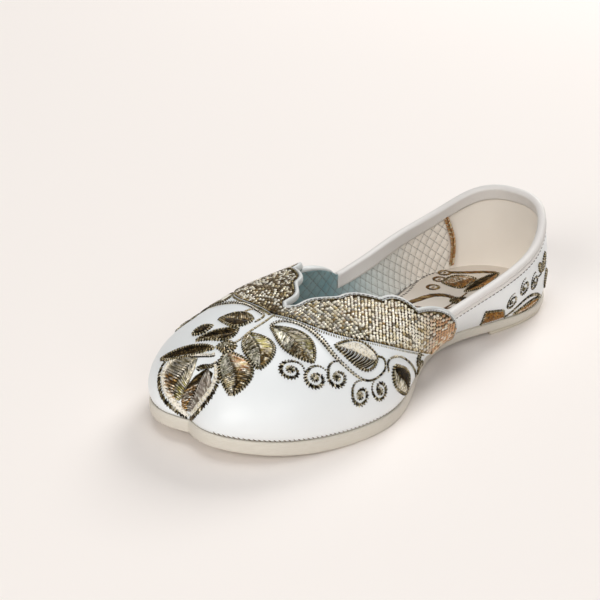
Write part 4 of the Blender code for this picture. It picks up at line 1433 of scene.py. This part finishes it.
def place_camera():
    """Camera by azimuth, elevation, roll and distance from a target on the shoe."""
    level = np.cos(ELEVATION)
    back = np.array([np.sin(AZIMUTH) * level, -np.cos(AZIMUTH) * level, np.sin(ELEVATION)])
    right = np.array([np.cos(AZIMUTH), np.sin(AZIMUTH), 0.0])
    up = np.cross(back, right)
    tilted_right = right * np.cos(ROLL) + up * np.sin(ROLL)
    tilted_up = up * np.cos(ROLL) - right * np.sin(ROLL)
    data = bpy.data.cameras.new("camera")
    data.sensor_width, data.lens = SENSOR, SENSOR * FOCAL_SHARE
    camera = bpy.data.objects.new("camera", data)
    turn = Matrix((tilted_right, tilted_up, back)).transposed().to_4x4()
    camera.matrix_world = Matrix.Translation(Vector((TARGET + back * DISTANCE) * MM)) @ turn
    scene.collection.objects.link(camera)
    scene.camera = camera


def build_surround():
    """A soft surround, brighter overhead and towards +X."""
    world = bpy.data.worlds.new("surround")
    world.use_nodes = True
    tree = world.node_tree
    sky = tree.nodes["Background"].inputs
    sky["Color"].default_value = rgba("#f2f4f7")
    way = add(tree, "SeparateXYZ", {"Vector": add(tree, "TexCoord").outputs["Generated"]}).outputs
    above = add(tree, "MapRange", {"Value": way["Z"], 1: 0.3, 2: 0.95, 3: 0.05, 4: 0.27})
    side = add(tree, "MapRange", {"Value": way["X"], 1: -0.1, 2: 0.9, 3: 0.0, 4: 0.22})
    add(tree, "Math", {0: above, 1: side}, sky["Strength"], operation='ADD')
    scene.world = world


def build_studio():
    """Pale floor, surround and soft boxes."""
    scene.view_settings.view_transform = 'Standard'
    build_surround()
    mesh = bpy.data.meshes.new("floor")
    mesh.from_pydata([(-6, -6, 0), (6, -6, 0), (6, 6, 0), (-6, 6, 0)], [], [(0, 1, 2, 3)])
    mesh.materials.append(material("pale_floor", Roughness=0.9, Base_Color=rgba("#fcf5f0"))[0])
    floor = bpy.data.objects.new("floor", mesh)
    scene.collection.objects.link(floor)
    for name, place, edge, watts in SOFT_BOXES:
        data = bpy.data.lights.new(name, 'AREA')
        data.size, data.energy, data.color = edge, watts, linear("#fffefc")
        light = bpy.data.objects.new(name, data)
        light.location = place
        light.rotation_euler = (AIM - Vector(place)).to_track_quat('-Z', 'Y').to_euler()
        scene.collection.objects.link(light)


# The grounds. The chart's ends are 0 and 560 round and 0 and 200 up, and planes are taken inside them.
wall, wing = (Ground(place, (0.5, 0.5), (559.5, 199.5)) for place in (wall_place, wing_place))
bed = Ground(bed_place)

place_camera()
build_studio()
build_upper()
build_lining()
build_binding()
panel = build_wing()
build_rim()
build_panel(*panel)
build_embroidery()
build_braid()
build_outsole()
build_footbed()
build_footbed_embroidery()
build_heel_lift()
build_welt_stitches()
